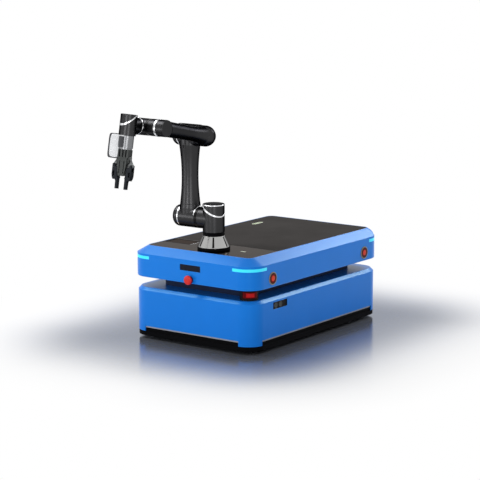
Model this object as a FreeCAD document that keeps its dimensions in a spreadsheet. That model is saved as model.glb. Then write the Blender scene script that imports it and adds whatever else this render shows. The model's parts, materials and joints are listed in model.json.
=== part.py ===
import FreeCAD, Part
import os
import Sketcher
from math import atan2, cos, degrees, radians, sin

# Low mobile robot base with a six-axis arm, a camera and a two-finger gripper.
# Millimetres and degrees.  +X is the front, +Y the left side, +Z up.
# The origin lies on the floor under the middle of the base.

Vector = FreeCAD.Vector
Rotation = FreeCAD.Rotation
Placement = FreeCAD.Placement

# ---------------------------------------------------------------- driving sizes
SIZES = [
    # mobile base, upper shell and deck
    ("base_length", 1060), ("base_width", 700), ("corner_radius", 86),
    ("deck_height", 429), ("shell_height", 139), ("shell_bottom", "=deck_height-shell_height"),
    ("chamfer_height", 31), ("chamfer_inset", 53), ("rear_inset", 18),
    ("rear_growth", "=chamfer_inset-rear_inset"), ("shell_wall", 6), ("lip_round", 4),
    ("web_thickness", 5), ("deck_plate_thickness", 6), ("deck_margin", 3), ("seam_setback", 271),
    ("deck_seam_x", "=base_length/2-seam_setback"), ("fit_gap", 0.3), ("turn_gap", 0.05),
    # lower housing, neck and chassis
    ("waist_gap", 50), ("lower_inset", 4), ("lower_bevel", 14), ("lower_wall", 6),
    ("skirt_height", 59), ("front_foot", 84), ("front_notch", "=base_width-2*front_foot"),
    ("side_foot", 78), ("side_notch", "=base_length-2*side_foot"),
    ("neck_inset", 105), ("neck_radius", 40), ("neck_wall", 5), ("pan_thickness", 4),
    ("chassis_bottom", 14), ("chassis_thickness", 21), ("chassis_inset", 5),
    ("skirt_wall", 8), ("skirt_lap", 16), ("bumper_height", 7), ("bumper_setback", 3),
    # lights, sensors and controls of the base
    ("led_drop", 23.5), ("led_bottom", "=deck_height-chamfer_height-led_drop"), ("led_height", 14),
    ("led_depth", 2.5), ("led_front_gap", 113), ("led_front_reach", "=base_width/2-led_front_gap"),
    ("led_side_gap", 107), ("led_side_reach", "=base_length/2-led_side_gap"),
    ("window_width", 116), ("window_height", 28), ("window_drop", 82),
    ("window_bottom", "=deck_height-window_drop"),
    ("window_depth", 4), ("window_glass", 2.5), ("lens_radius", 9), ("lens_spacing", 66),
    ("lamp_radius", 29.5), ("lamp_ring", 6), ("lamp_rise", 41),
    ("lamp_height", "=shell_bottom+lamp_rise"), ("lamp_setback", 152),
    ("lamp_x", "=base_length/2-lamp_setback"), ("lamp_depth", 5), ("lamp_proud", 2.5),
    ("lidar_radius", 42), ("lidar_setback", 75), ("lidar_x", "=base_length/2-lidar_setback"),
    ("lidar_y", "=base_width/2-lidar_setback"), ("lidar_window_height", 34),
    ("lidar_window_width", 74), ("lidar_window_depth", 4),
    ("port_setback", 271), ("port_x", "=base_length/2-port_setback"), ("port_width", 110),
    ("port_drop", 54), ("port_bottom", "=shell_bottom-waist_gap-port_drop"), ("port_height", 32),
    ("port_depth", 5), ("port_rim", 2.5), ("port_radius", 12), ("port_end_gap", 24),
    ("port_spacing", 36),
    ("stop_rise", 18), ("stop_height", "=shell_bottom+stop_rise"), ("stop_head_radius", 21.5),
    ("stop_head_depth", 13), ("stop_stem_radius", 6), ("stop_barrel_radius", 12),
    ("stop_collar_radius", 17), ("stop_collar_depth", 4), ("stop_travel", 5),
    ("display_setback", 262), ("display_x", "=base_length/2-display_setback"),
    ("display_length", 92), ("display_side_gap", 2),
    ("display_y", "=base_width/2-chamfer_inset-deck_margin-display_side_gap"),
    ("display_width", 164), ("display_depth", 4), ("display_frame", 7),
    ("indicator_setback", 177), ("indicator_x", "=base_length/2-indicator_setback"),
    ("indicator_side_gap", 181), ("indicator_y", "=base_width/2-indicator_side_gap"),
    ("indicator_length", 12), ("indicator_width", 26), ("indicator_depth", 3),
    ("pull_setback", 239), ("pull_x", "=base_length/2-pull_setback"), ("pull_side_gap", 134),
    ("pull_y", "=base_width/2-pull_side_gap"), ("pull_length", 78), ("pull_width", 24),
    ("pull_depth", 4), ("pull_rim", 4),
    # drive and casters
    ("wheel_radius", 75), ("wheel_width", 44), ("wheel_side_gap", 88),
    ("wheel_y", "=base_width/2-wheel_side_gap"), ("wheel_room", 12), ("tyre_depth", 12),
    ("axle_radius", 10), ("gearbox_length", 80), ("gearbox_width", 90),
    ("gearbox_height", 92), ("motor_radius", 38), ("motor_length", 105),
    ("caster_setback", 132), ("caster_x", "=base_length/2-caster_setback"),
    ("caster_side_gap", 122), ("caster_y", "=base_width/2-caster_side_gap"),
    ("caster_trail", 22), ("caster_radius", 36), ("caster_width", 28), ("caster_axle_radius", 5),
    ("fork_leg", 5), ("fork_crown_radius", 29), ("fork_crown", 7), ("caster_well", 62),
    ("post_radius", 7), ("post_inset", 9), ("turret_height", 108), ("turret_top", 8),
    ("caster_stem_radius", 10),
    # energy and control inside the base
    ("battery_length", 240), ("battery_width", 300), ("battery_height", 130),
    ("battery_x", 190), ("control_length", 220), ("control_width", 260),
    ("control_height", 90), ("control_x", 190),
    # arm foot and shoulder
    ("arm_setback", 160), ("arm_x", "=base_length/2-arm_setback"), ("arm_y", 15),
    ("foot_radius", 75), ("foot_height", 12),
    ("cone_bottom_radius", 73), ("cone_top_radius", 49), ("cone_height", 50), ("cone_groove", 2.5),
    ("collar_height", 17), ("arm_radius", 50), ("shoulder_rise", 137),
    ("shoulder_top", 206), ("cover_drop", 43), ("cover_slope", 33), ("cover_turn", 35),
    ("top_ring_drop", 10.5), ("top_ring", 5.5), ("trim_width", 5), ("slope_trim", 9),
    ("trim_proud", 0.5), ("trim_depth", 6), ("band_depth", 2), ("joint_face", 78),
    ("groove_width", 14), ("groove_depth", 3), ("edge_round", 4),
    # upper arm
    ("upper_arm_length", 376), ("upper_arm_offset", 134), ("tube_radius", 49),
    ("tube_waist", 10.5), ("tube_waist_length", 290), ("ring_offset", 174),
    ("cap_length", 32), ("cap_round", 20), ("seam_width", 1.5), ("seam_depth", 1),
    ("upper_seam", 72), ("lower_seam", 61), ("vent_length", 14), ("vent_width", 4),
    # forearm
    ("forearm_length", 330), ("forearm_pitch", 12), ("forearm_offset", 45),
    ("hub_clearance", 1), ("elbow_radius", 48), ("elbow_cover_shift", 12), ("forearm_root_radius", 46),
    ("forearm_waist_radius", 32.5), ("forearm_flare", 112), ("forearm_tip_radius", 36),
    ("wrist_radius", 38), ("wrist_face", 104), ("wrist_ring", 55), ("wrist_cap_face", 13),
    ("wrist_cap_depth", 6), ("wrist_cap_step", 1),
    # wrist and tool
    ("wrist_pitch", 9), ("wrist_roll", 2), ("wrist_offset", 152), ("wrist_reach", 94),
    ("wrist_joint", 46), ("hand_radius", 37.5), ("hand_top", 48), ("hand_bottom", 45),
    ("hand_cover_drop", 27), ("hand_cover_slope", 37.5),
    ("adaptor_radius", 32), ("adaptor_length", 56), ("coupling_radius", 29),
    ("coupling_length", 6), ("camera_offset", 61), ("camera_width", 50),
    ("camera_back", 17), ("camera_front", 11.5), ("camera_length", 94), ("camera_top", 1),
    ("camera_round", 9), ("frame_depth", 4.5), ("frame_length", 107), ("frame_round", 6),
    ("camera_cover_depth", 3.5), ("camera_cover_margin", 4), ("bracket_thickness", 9),
    # gripper
    ("palm_width", 62), ("palm_thickness", 38), ("palm_length", 36), ("ear_length", 22),
    ("ear_thickness", 5), ("guide_thickness", 4), ("guide_lap", 2), ("guide_length", 83),
    ("guide_top", 26), ("guide_waist", 22), ("guide_waist_drop", 54), ("guide_tip", 15),
    ("guide_slot", 4), ("guide_slot_y", 12), ("guide_slot_top", 16), ("guide_slot_length", 56),
    ("link_thickness", 12), ("link_radius", 7), ("link_length", 43.3),
    ("link_angle", 33.7), ("outer_pivot_y", 26), ("outer_pivot_drop", 98),
    ("inner_pivot_y", 10), ("inner_pivot_drop", 110), ("pin_radius", 3),
    ("finger_thickness", 22), ("finger_edge", 4), ("finger_drop", 103), ("tip_thickness", 11),
    ("tip_length", 46), ("tip_width", 17), ("grip_opening", 41),
]

doc = FreeCAD.newDocument("MobileManipulator")
sheet = doc.addObject("Spreadsheet::Sheet", "Sizes")
for row, (alias, size) in enumerate(SIZES, start=1):
    sheet.set("A%d" % row, alias)
    sheet.set("B%d" % row, str(size))
    sheet.setAlias("B%d" % row, alias)
doc.recompute()
ALIASES = sorted((alias for alias, size in SIZES), key=len, reverse=True)


def size_of(alias):
    """Read one driving size from the sheet."""
    return float(getattr(sheet, alias))


def formula(text):
    """Turn plain size names into references to the sheet."""
    words = []
    word = ""
    for letter in str(text) + " ":
        if letter.isalnum() or letter == "_":
            word += letter
        else:
            words.append("Sizes." + word if word in ALIASES else word)
            words.append(letter)
            word = ""
    return "".join(words).strip()


def bind(thing, prop, text):
    """Bind one property to a formula of the sheet's sizes."""
    thing.setExpression(prop, formula(text))


# ---------------------------------------------------------------- building blocks
AXIS_TURN = {
    "Z": Rotation(),
    "X": Rotation(Vector(0, 1, 0), 90),
    "Y": Rotation(Vector(1, 0, 0), -90),
}


def put(thing, x, y, z):
    """Place a primitive by three formulas."""
    for axis, text in zip("xyz", (x, y, z)):
        bind(thing, "Placement.Base." + axis, text)


def box(length, width, height, x, y, z):
    """A block from its low corner x, y, z."""
    block = doc.addObject("Part::Box", "Block")
    bind(block, "Length", length)
    bind(block, "Width", width)
    bind(block, "Height", height)
    put(block, x, y, z)
    return block


def centred_box(length, width, height, x, y, z):
    """A block centred on x, y and standing on z."""
    return box(length, width, height, "(%s)-(%s)/2" % (x, length), "(%s)-(%s)/2" % (y, width), z)


def cylinder(radius, height, x, y, z, axis="Z"):
    """A round bar that runs from x, y, z along one axis."""
    bar = doc.addObject("Part::Cylinder", "Bar")
    bind(bar, "Radius", radius)
    bind(bar, "Height", height)
    bar.Placement = Placement(Vector(), AXIS_TURN[axis])
    put(bar, x, y, z)
    return bar


def cone(radius_low, radius_high, height, x, y, z, axis="Z"):
    """A taper that runs from x, y, z along one axis."""
    taper = doc.addObject("Part::Cone", "Taper")
    bind(taper, "Radius1", radius_low)
    bind(taper, "Radius2", radius_high)
    bind(taper, "Height", height)
    taper.Placement = Placement(Vector(), AXIS_TURN[axis])
    put(taper, x, y, z)
    return taper


def ball(radius, x, y, z):
    """A full sphere about x, y, z."""
    sphere = doc.addObject("Part::Sphere", "Ball")
    bind(sphere, "Radius", radius)
    put(sphere, x, y, z)
    return sphere


def torus(major, minor, x, y, z, axis="Z"):
    """A torus about one axis."""
    ring = doc.addObject("Part::Torus", "Hoop")
    bind(ring, "Radius1", major)
    bind(ring, "Radius2", minor)
    ring.Placement = Placement(Vector(), AXIS_TURN[axis])
    put(ring, x, y, z)
    return ring


def fuse(pieces):
    """Join several shapes into one solid."""
    joined = doc.addObject("Part::MultiFuse", "Joined")
    joined.Shapes = pieces
    return joined


def cut(base, tools):
    """Take one or more shapes out of a base."""
    result = doc.addObject("Part::Cut", "Trimmed")
    result.Base = base
    result.Tool = tools[0] if len(tools) == 1 else fuse(tools)
    return result


def common(first, second):
    """Keep what two shapes share."""
    shared = doc.addObject("Part::Common", "Shared")
    shared.Base = first
    shared.Tool = second
    return shared


def mirrored(source, normal):
    """A copy on the other side of a plane through the origin."""
    copy = doc.addObject("Part::Mirroring", "Mirror")
    copy.Source = source
    copy.Normal = normal
    return copy


def group(pieces):
    """Several separate solids that share one node."""
    bundle = doc.addObject("Part::Compound", "Group")
    bundle.Links = pieces
    return bundle


def four_corners(piece):
    """The piece and its three mirror images about the base's two middle planes."""
    left_right = group([piece, mirrored(piece, Vector(0, 1, 0))])
    return group([left_right, mirrored(left_right, Vector(1, 0, 0))])


def plane_of(body, role):
    return [feature for feature in body.Origin.OriginFeatures if feature.Role == role][0]


def outline(body, role, points, offset="0"):
    """A closed sketch of straight lines whose corners are formulas."""
    sketch = body.newObject("Sketcher::SketchObject", "Outline")
    sketch.AttachmentSupport = (plane_of(body, role), "")
    sketch.MapMode = "FlatFace"
    bind(sketch, "AttachmentOffset.Base.z", offset)
    count = len(points)
    for index in range(count):
        angle = 2 * 3.14159 * index / count
        following = 2 * 3.14159 * (index + 1) / count
        start = Vector(cos(angle), sin(angle), 0)
        end = Vector(cos(following), sin(following), 0)
        sketch.addGeometry(Part.LineSegment(start, end), False)
    for index in range(count):
        sketch.addConstraint(Sketcher.Constraint("Coincident", index, 2, (index + 1) % count, 1))
    for index, (across, up) in enumerate(points):
        for kind, text in (("DistanceX", across), ("DistanceY", up)):
            number = sketch.addConstraint(Sketcher.Constraint(kind, -1, 1, index, 1, 1.0))
            name = "%s%d" % (kind, index)
            sketch.renameConstraint(number, name)
            bind(sketch, "Constraints." + name, text)
    return sketch


def pad(points, role, length, offset="0", both_sides=False):
    """A body padded from a closed outline."""
    body = doc.addObject("PartDesign::Body", "Body")
    feature = body.newObject("PartDesign::Pad", "Pad")
    feature.Profile = outline(body, role, points, offset)
    if both_sides:
        feature.SideType = "Symmetric"
    bind(feature, "Length", length)
    doc.recompute()
    return body


def revolve(points):
    """A body turned about its own vertical axis from an outline of radius and height."""
    body = doc.addObject("PartDesign::Body", "Body")
    profile = outline(body, "XZ_Plane", points)
    feature = body.newObject("PartDesign::Revolution", "Revolution")
    feature.Profile = profile
    feature.ReferenceAxis = (profile, ["V_Axis"])
    feature.Angle = 360
    doc.recompute()
    return body


def edge_names(shape, wanted):
    return ["Edge%d" % number for number, edge in enumerate(shape.Edges, start=1) if wanted(edge)]


def upright(edge):
    """True for an edge that stands along Z."""
    bounds = edge.BoundBox
    return bounds.XLength < 1e-4 and bounds.YLength < 1e-4


def along(axis):
    """Picks the edges that run along one axis."""
    def wanted(edge):
        bounds = edge.BoundBox
        sizes = {"X": bounds.XLength, "Y": bounds.YLength, "Z": bounds.ZLength}
        return sizes.pop(axis) > 1e-3 and max(sizes.values()) < 1e-4
    return wanted


def at_height(level):
    """Picks the edges that lie flat at one height."""
    def wanted(edge):
        bounds = edge.BoundBox
        return abs(bounds.ZMin - level) < 1e-3 and abs(bounds.ZMax - level) < 1e-3
    return wanted


def round_edges(body, wanted, radius):
    """Fillet the chosen edges of a body's last feature."""
    base = body.Tip
    feature = body.newObject("PartDesign::Fillet", "Fillet")
    feature.Base = (base, edge_names(base.Shape, wanted))
    bind(feature, "Radius", radius)
    doc.recompute()
    return body


def bevel_edges(body, wanted, height, inset):
    """Chamfer the chosen edges of a body's last feature with two distances."""
    base = body.Tip
    feature = body.newObject("PartDesign::Chamfer", "Chamfer")
    feature.Base = (base, edge_names(base.Shape, wanted))
    feature.ChamferType = "Two distances"
    bind(feature, "Size", height)
    bind(feature, "Size2", inset)
    doc.recompute()
    return body


def rounded_block(inset, radius, bottom, height, growth="0"):
    """A block with the base's plan, drawn in by an inset, with round corners.
    A growth moves the rear end back."""
    half_x = "base_length/2-(%s)" % inset
    half_y = "base_width/2-(%s)" % inset
    rear_x = "-(%s)-%s" % (half_x, growth)
    corners = [(rear_x, "-(%s)" % half_y), (half_x, "-(%s)" % half_y), (half_x, half_y), (rear_x, half_y)]
    body = pad(corners, "XY_Plane", height, bottom)
    return round_edges(body, upright, radius)


def round_primitive(source, wanted, radius):
    """Fillet the chosen edges of a primitive or boolean."""
    doc.recompute()
    rounded = doc.addObject("Part::Fillet", "Rounded")
    rounded.Base = source
    numbers = [number for number, edge in enumerate(source.Shape.Edges, start=1) if wanted(edge)]
    rounded.Edges = [(number, size_of(radius), size_of(radius)) for number in numbers]
    return rounded


NODES = []


def node(name, thing, place=None):
    """Name a finished sub-part and put it in its frame."""
    thing.Label = name
    if place is not None:
        thing.Placement = place
    NODES.append(thing)
    return thing


# ---------------------------------------------------------------- lower housing and chassis
def make_lower_housing():
    """Hollow housing whose four corner posts stand on the chassis plate."""
    top = "shell_bottom-waist_gap"
    low = "(chassis_bottom+chassis_thickness)"
    outer = rounded_block("lower_inset", "corner_radius-lower_inset", low, top + "-" + low)
    level = size_of("shell_bottom") - size_of("waist_gap")
    bevel_edges(outer, at_height(level), "lower_bevel", "lower_bevel")
    inner = rounded_block("lower_inset+lower_wall", "corner_radius-lower_inset-lower_wall",
                          low + "-10", top + "-web_thickness-%s+10" % low)
    bevel_edges(inner, at_height(level - size_of("web_thickness")), "lower_bevel", "lower_bevel")
    front_notch = centred_box("base_length+20", "front_notch", "skirt_height", "0", "0", "0")
    side_notch = centred_box("side_notch", "base_width+20", "skirt_height", "0", "0", "0")
    port = box("port_width", "port_depth+5", "port_height", "port_x",
               "base_width/2-lower_inset-port_depth", "port_bottom")
    node("lower_housing", cut(outer, [inner, front_notch, side_notch, port]))


def make_chassis():
    """Plate with rectangular wheel openings, and dark walls that close the housing's notches."""
    plate = rounded_block("chassis_inset", "corner_radius-chassis_inset", "chassis_bottom", "chassis_thickness")
    opening_height = "2*chassis_thickness"
    openings = []
    for side in ("", "-"):
        openings.append(centred_box("2*(wheel_radius+wheel_room)", "wheel_width+2*wheel_room-4", opening_height,
                                    "0", side + "wheel_y", "0"))
    caster_opening = centred_box("2*caster_well", "2*caster_well", opening_height, "caster_x", "caster_y", "0")
    openings.append(four_corners(caster_opening))

    floor = "(chassis_bottom+chassis_thickness)"
    wall_inset = "lower_inset+lower_wall+fit_gap"
    wall_height = "skirt_height+skirt_lap-" + floor
    strip_depth = "lower_wall+fit_gap-bumper_setback"
    strip_low = "skirt_height-bumper_height"
    front_half = "(front_notch/2-fit_gap)"
    side_half = "(base_length/2-corner_radius-fit_gap)"
    walls = []
    strips = []
    for side in (1, -1):
        front_place = "base_length/2-(%s)" % wall_inset
        side_place = "base_width/2-(%s)" % wall_inset
        front_wall = box("skirt_wall", "2*" + front_half, wall_height, front_place + "-skirt_wall",
                         "-" + front_half, floor)
        side_wall = box("2*" + side_half, "skirt_wall", wall_height, "-" + side_half,
                        side_place + "-skirt_wall", floor)
        front_strip = box(strip_depth, "2*" + front_half, "bumper_height", front_place, "-" + front_half, strip_low)
        side_strip = box("2*" + side_half, strip_depth, "bumper_height", "-" + side_half, side_place, strip_low)
        if side > 0:
            walls += [front_wall, side_wall]
            strips += [front_strip, side_strip]
        else:
            walls += [mirrored(front_wall, Vector(1, 0, 0)), mirrored(side_wall, Vector(0, 1, 0))]
            strips += [mirrored(front_strip, Vector(1, 0, 0)), mirrored(side_strip, Vector(0, 1, 0))]
    node("chassis_plate", group([cut(plate, openings)] + walls))
    node("bumper_strips", group(strips))


def make_neck():
    """A dark band in the waist gap that carries the upper shell on a flat pan."""
    low = "shell_bottom-waist_gap"
    band = rounded_block("neck_inset", "neck_radius", low, "waist_gap")
    hollow = rounded_block("neck_inset+neck_wall", "neck_radius-neck_wall", low + "-5", "waist_gap+5")
    pan_inset = "shell_wall+fit_gap"
    pan = rounded_block(pan_inset, "corner_radius-(%s)" % pan_inset, "shell_bottom", "pan_thickness")
    niches = [cylinder("lidar_radius+3", "waist_gap+5", side + "lidar_x", side + "lidar_y", low + "-5")
              for side in ("", "-")]
    node("neck_band", group([cut(band, [hollow] + niches), pan]))


# ---------------------------------------------------------------- upper shell and deck
def corner_boxes():
    """Blocks over the stretches of the four corners that the light strips wrap."""
    block = box("base_length/2-led_side_reach+10", "base_width/2-led_front_reach+10", "led_height",
                "led_side_reach", "led_front_reach", "led_bottom")
    return four_corners(block)


def make_upper_shell():
    full_height = "deck_height-shell_bottom"
    top_edge = at_height(size_of("deck_height"))
    low_edge = at_height(size_of("shell_bottom"))
    wide = rounded_block("0", "corner_radius", "shell_bottom", full_height, "rear_growth")
    bevel_edges(wide, top_edge, "chamfer_height", "chamfer_inset")
    true_plan = rounded_block("0", "corner_radius", "shell_bottom", full_height)
    bevel_edges(true_plan, top_edge, "chamfer_height", "rear_inset")
    round_edges(true_plan, low_edge, "lip_round")
    outer = common(wide, true_plan)
    ceiling = size_of("deck_height") - size_of("deck_plate_thickness") - size_of("web_thickness")
    inner = rounded_block("shell_wall", "corner_radius-shell_wall", "shell_bottom-5",
                          full_height + "-deck_plate_thickness-web_thickness+5")
    bevel_edges(inner, at_height(ceiling), "chamfer_height", "chamfer_inset")
    recess = rounded_block("chamfer_inset+deck_margin", "corner_radius-chamfer_inset-deck_margin",
                           "deck_height-deck_plate_thickness", "2*deck_plate_thickness", "rear_growth")
    light_band = cut(rounded_block("-2", "corner_radius+2", "led_bottom", "led_height"),
                     [rounded_block("led_depth", "corner_radius-led_depth", "led_bottom-1", "led_height+2")])
    light_groove = common(light_band, corner_boxes())
    window = box("window_depth+5", "window_width", "window_height", "base_length/2-window_depth",
                 "-window_width/2", "window_bottom")
    lamp_hole = cylinder("lamp_radius", "lamp_depth+5", "lamp_x", "base_width/2-lamp_depth", "lamp_height", "Y")
    stop_hole = cylinder("stop_barrel_radius+fit_gap", "shell_wall+10", "base_length/2-shell_wall-5", "0",
                         "stop_height", "X")
    tools = [inner, recess, light_groove, window, four_corners(lamp_hole), stop_hole]
    node("upper_shell", cut(outer, tools))

    strip_block = rounded_block("0", "corner_radius", "led_bottom", "led_height")
    node("led_strips", common(strip_block, light_groove))


def make_deck():
    inset = "chamfer_inset+deck_margin+fit_gap"
    seat = "deck_height-deck_plate_thickness"

    def plate():
        return rounded_block(inset, "corner_radius-(%s)" % inset, seat, "deck_plate_thickness", "rear_growth")
    front_zone = box("base_length", "base_width+20", "40", "deck_seam_x+0.5", "-base_width/2-10", seat + "-10")
    display_pocket = box("display_length", "display_width", "20", "display_x", "-display_y",
                         "deck_height-display_depth")
    indicator_pocket = centred_box("indicator_length", "indicator_width", "20", "indicator_x", "indicator_y",
                                   "deck_height-indicator_depth")
    front = common(plate(), front_zone)
    node("front_deck_panel", cut(front, [display_pocket, indicator_pocket]))

    rear_zone = box("base_length", "base_width+20", "40", "deck_seam_x-0.5-base_length", "-base_width/2-10",
                    seat + "-10")
    pull_pocket = slot_shape("pull_length", "pull_width", "20", "deck_height-pull_depth")
    node("payload_deck", cut(common(plate(), rear_zone), [pull_pocket]))

    pull_outer = slot_shape("pull_length-2*fit_gap", "pull_width-2*fit_gap", "pull_depth",
                            "deck_height-pull_depth")
    pull_inner = slot_shape("pull_length-2*pull_rim", "pull_width-2*pull_rim", "20",
                            "deck_height-pull_depth+1")
    node("deck_pull", cut(pull_outer, [pull_inner]))

    bezel_block = box("display_length", "display_width", "display_depth", "display_x", "-display_y",
                      "deck_height-display_depth")
    glass_room = box("display_length-2*display_frame", "display_width-4*display_frame", "20",
                     "display_x+display_frame", "-display_y+3*display_frame", "deck_height-display_depth+1.5")
    grip_slot = box("display_length-4*display_frame", "display_frame", "20", "display_x+2*display_frame",
                    "-display_y+display_frame", "deck_height-display_depth+1.5")
    node("display_bezel", cut(bezel_block, [glass_room, grip_slot]))
    glass = box("display_length-2*display_frame-2*fit_gap", "display_width-4*display_frame-2*fit_gap",
                "display_depth-2", "display_x+display_frame+fit_gap", "-display_y+3*display_frame+fit_gap",
                "deck_height-display_depth+1.5")
    node("display_glass", glass)
    node("deck_indicator", centred_box("indicator_length-2*fit_gap", "indicator_width-2*fit_gap",
                                       "indicator_depth", "indicator_x", "indicator_y",
                                       "deck_height-indicator_depth"))


def slot_shape(length, width, height, z):
    """A flat oval over the deck pull's place."""
    straight = "((%s)-(%s))" % (length, width)
    bar = centred_box(straight, width, height, "-pull_x", "-pull_y", z)
    ends = [cylinder("(%s)/2" % width, height, "-pull_x+%s%s/2" % (side, straight), "-pull_y", z)
            for side in ("1*", "-1*")]
    return fuse([bar] + ends)


# ---------------------------------------------------------------- lights, sensors, controls
def make_front_window():
    glass = box("window_glass", "window_width-2*fit_gap", "window_height-2*fit_gap",
                "base_length/2-window_depth", "-window_width/2+fit_gap", "window_bottom+fit_gap")
    lenses = [cylinder("lens_radius", "1", "base_length/2-window_depth+window_glass",
                       "%slens_spacing/2" % side, "window_bottom+window_height/2", "X") for side in ("", "-")]
    node("front_sensor_window", fuse([glass] + lenses))


def make_lamps():
    """Round signal lamps, two on each long side."""
    seat = "base_width/2-lamp_depth"
    rim = cylinder("lamp_radius-fit_gap", "lamp_depth+lamp_proud", "lamp_x", seat, "lamp_height", "Y")
    bore = cone("lamp_radius-lamp_ring-2", "lamp_radius-lamp_ring+1", "lamp_depth+lamp_proud-1", "lamp_x",
                seat + "+1.5", "lamp_height", "Y")
    node("lamp_bezels", four_corners(cut(rim, [bore])))
    disc = cylinder("lamp_radius-lamp_ring-2-fit_gap", "lamp_depth-1.5", "lamp_x", seat + "+1.5",
                    "lamp_height", "Y")
    dome_radius = "((lamp_radius-lamp_ring-2)^2+9)/6"
    dome = common(ball(dome_radius, "lamp_x", seat + "+lamp_depth+3-" + dome_radius, "lamp_height"),
                  cylinder("lamp_radius-lamp_ring-2-fit_gap", "3.5", "lamp_x", seat + "+lamp_depth-0.5",
                           "lamp_height", "Y"))
    node("lamp_lenses", four_corners(fuse([disc, dome])))


def make_lidars():
    """Scanners in the waist gap at two opposite corners."""
    low = "shell_bottom-waist_gap"
    housings = []
    windows = []
    for side, turn in (("", 0), ("-", 180)):
        x = side + "lidar_x"
        y = side + "lidar_y"
        drum = cylinder("lidar_radius", "waist_gap", x, y, low)
        ring = cut(cylinder("lidar_radius+2", "lidar_window_height", x, y,
                            low + "+(waist_gap-lidar_window_height)/2"),
                   [cylinder("lidar_radius-lidar_window_depth", "waist_gap", x, y, low)])
        zone = box("2*lidar_radius", "lidar_window_width", "waist_gap", "0", "-lidar_window_width/2", "0")
        holder = group([zone])
        holder.Placement = Placement(Vector(), Rotation(Vector(0, 0, 1), 45 + turn))
        for axis, text in (("x", x), ("y", y), ("z", low)):
            bind(holder, "Placement.Base." + axis, text)
        window_zone = common(ring, holder)
        housings.append(cut(drum, [window_zone]))
        windows.append(common(cylinder("lidar_radius-0.5", "waist_gap", x, y, low), window_zone))
    node("lidar_housings", group(housings))
    node("lidar_windows", group(windows))


def make_ports():
    seat = "base_width/2-lower_inset-port_depth"
    frame = box("port_width-2*fit_gap", "port_depth-0.5", "port_height-2*fit_gap", "port_x+fit_gap", seat,
                "port_bottom+fit_gap")
    room = box("port_width-2*port_rim", "port_depth", "port_height-2*port_rim", "port_x+port_rim", seat + "+1.5",
               "port_bottom+port_rim")
    node("port_frame", cut(frame, [room]))
    sockets = []
    for place in ("0", "1"):
        x = "port_x+port_width-port_end_gap-%s*port_spacing" % place
        shell = cylinder("port_radius", "port_depth-2.5", x, seat + "+1.5", "port_bottom+port_height/2", "Y")
        hole = cylinder("port_radius*0.7", "port_depth", x, seat + "+2", "port_bottom+port_height/2", "Y")
        pin = cylinder("port_radius/4", "port_depth-3", x, seat + "+1.5", "port_bottom+port_height/2", "Y")
        sockets.append(fuse([cut(shell, [hole]), pin]))
    node("port_connectors", group(sockets))


def make_emergency_stop():
    """Fixed collar in the shell's front and a mushroom button that slides in it."""
    face = "base_length/2"
    barrel = cylinder("stop_barrel_radius", "40", face + "-40", "0", "stop_height", "X")
    flange = cylinder("stop_collar_radius", "stop_collar_depth", face, "0", "stop_height", "X")
    bore = cylinder("stop_stem_radius+turn_gap", "80", face + "-60", "0", "stop_height", "X")
    node("estop_collar", cut(fuse([barrel, flange]), [bore]))

    gap = "stop_collar_depth+stop_travel+fit_gap"
    profile = [
        ("0", "-30"), ("stop_stem_radius", "-30"), ("stop_stem_radius", gap),
        ("stop_head_radius*0.72", gap), ("stop_head_radius*0.96", gap + "+1"),
        ("stop_head_radius", gap + "+3"), ("stop_head_radius", gap + "+stop_head_depth*0.55"),
        ("stop_head_radius*0.94", gap + "+stop_head_depth*0.78"),
        ("stop_head_radius*0.76", gap + "+stop_head_depth*0.93"),
        ("stop_head_radius*0.45", gap + "+stop_head_depth"), ("0", gap + "+stop_head_depth"),
    ]
    place = Placement(Vector(size_of("base_length") / 2, 0, size_of("stop_height")), AXIS_TURN["X"])
    node("estop_button", revolve(profile), place)


# ---------------------------------------------------------------- drive, casters, energy
def make_drive():
    units = []
    for sign, side in ((1, "left"), (-1, "right")):
        half = "wheel_width/2"
        profile = [
            ("0", half + "-8"), ("wheel_radius*0.3", half + "-8"), ("wheel_radius*0.34", half + "-14"),
            ("wheel_radius-tyre_depth-10", half + "-14"), ("wheel_radius-tyre_depth", half + "-2"),
            ("wheel_radius-2", half), ("wheel_radius", half + "-3"), ("wheel_radius", "-(%s)+3" % half),
            ("wheel_radius-2", "-(%s)" % half), ("axle_radius*1.8", "-(%s)" % half),
            ("axle_radius*1.8", "-(%s)-4" % half), ("axle_radius", "-(%s)-4" % half),
            ("axle_radius", "-(%s)-30" % half), ("0", "-(%s)-30" % half),
        ]
        turn = Rotation(Vector(1, 0, 0), -90 * sign)
        place = Placement(Vector(0, sign * size_of("wheel_y"), size_of("wheel_radius")), turn)
        node("drive_wheel_" + side, revolve(profile), place)
    inner_face = "wheel_y-wheel_width/2-6"
    floor = "chassis_bottom+chassis_thickness"
    gearbox = box("gearbox_width", "gearbox_length", "gearbox_height", "-gearbox_width/2",
                  inner_face + "-gearbox_length", floor)
    bore = cylinder("axle_radius+turn_gap", "40", "0", inner_face + "-28", "wheel_radius", "Y")
    motor = cylinder("motor_radius", "motor_length+2", "0", inner_face + "-gearbox_length-motor_length",
                     "wheel_radius", "Y")
    unit = fuse([cut(gearbox, [bore]), motor])
    units = group([unit, mirrored(unit, Vector(0, 1, 0))])
    node("drive_units", units)


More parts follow.
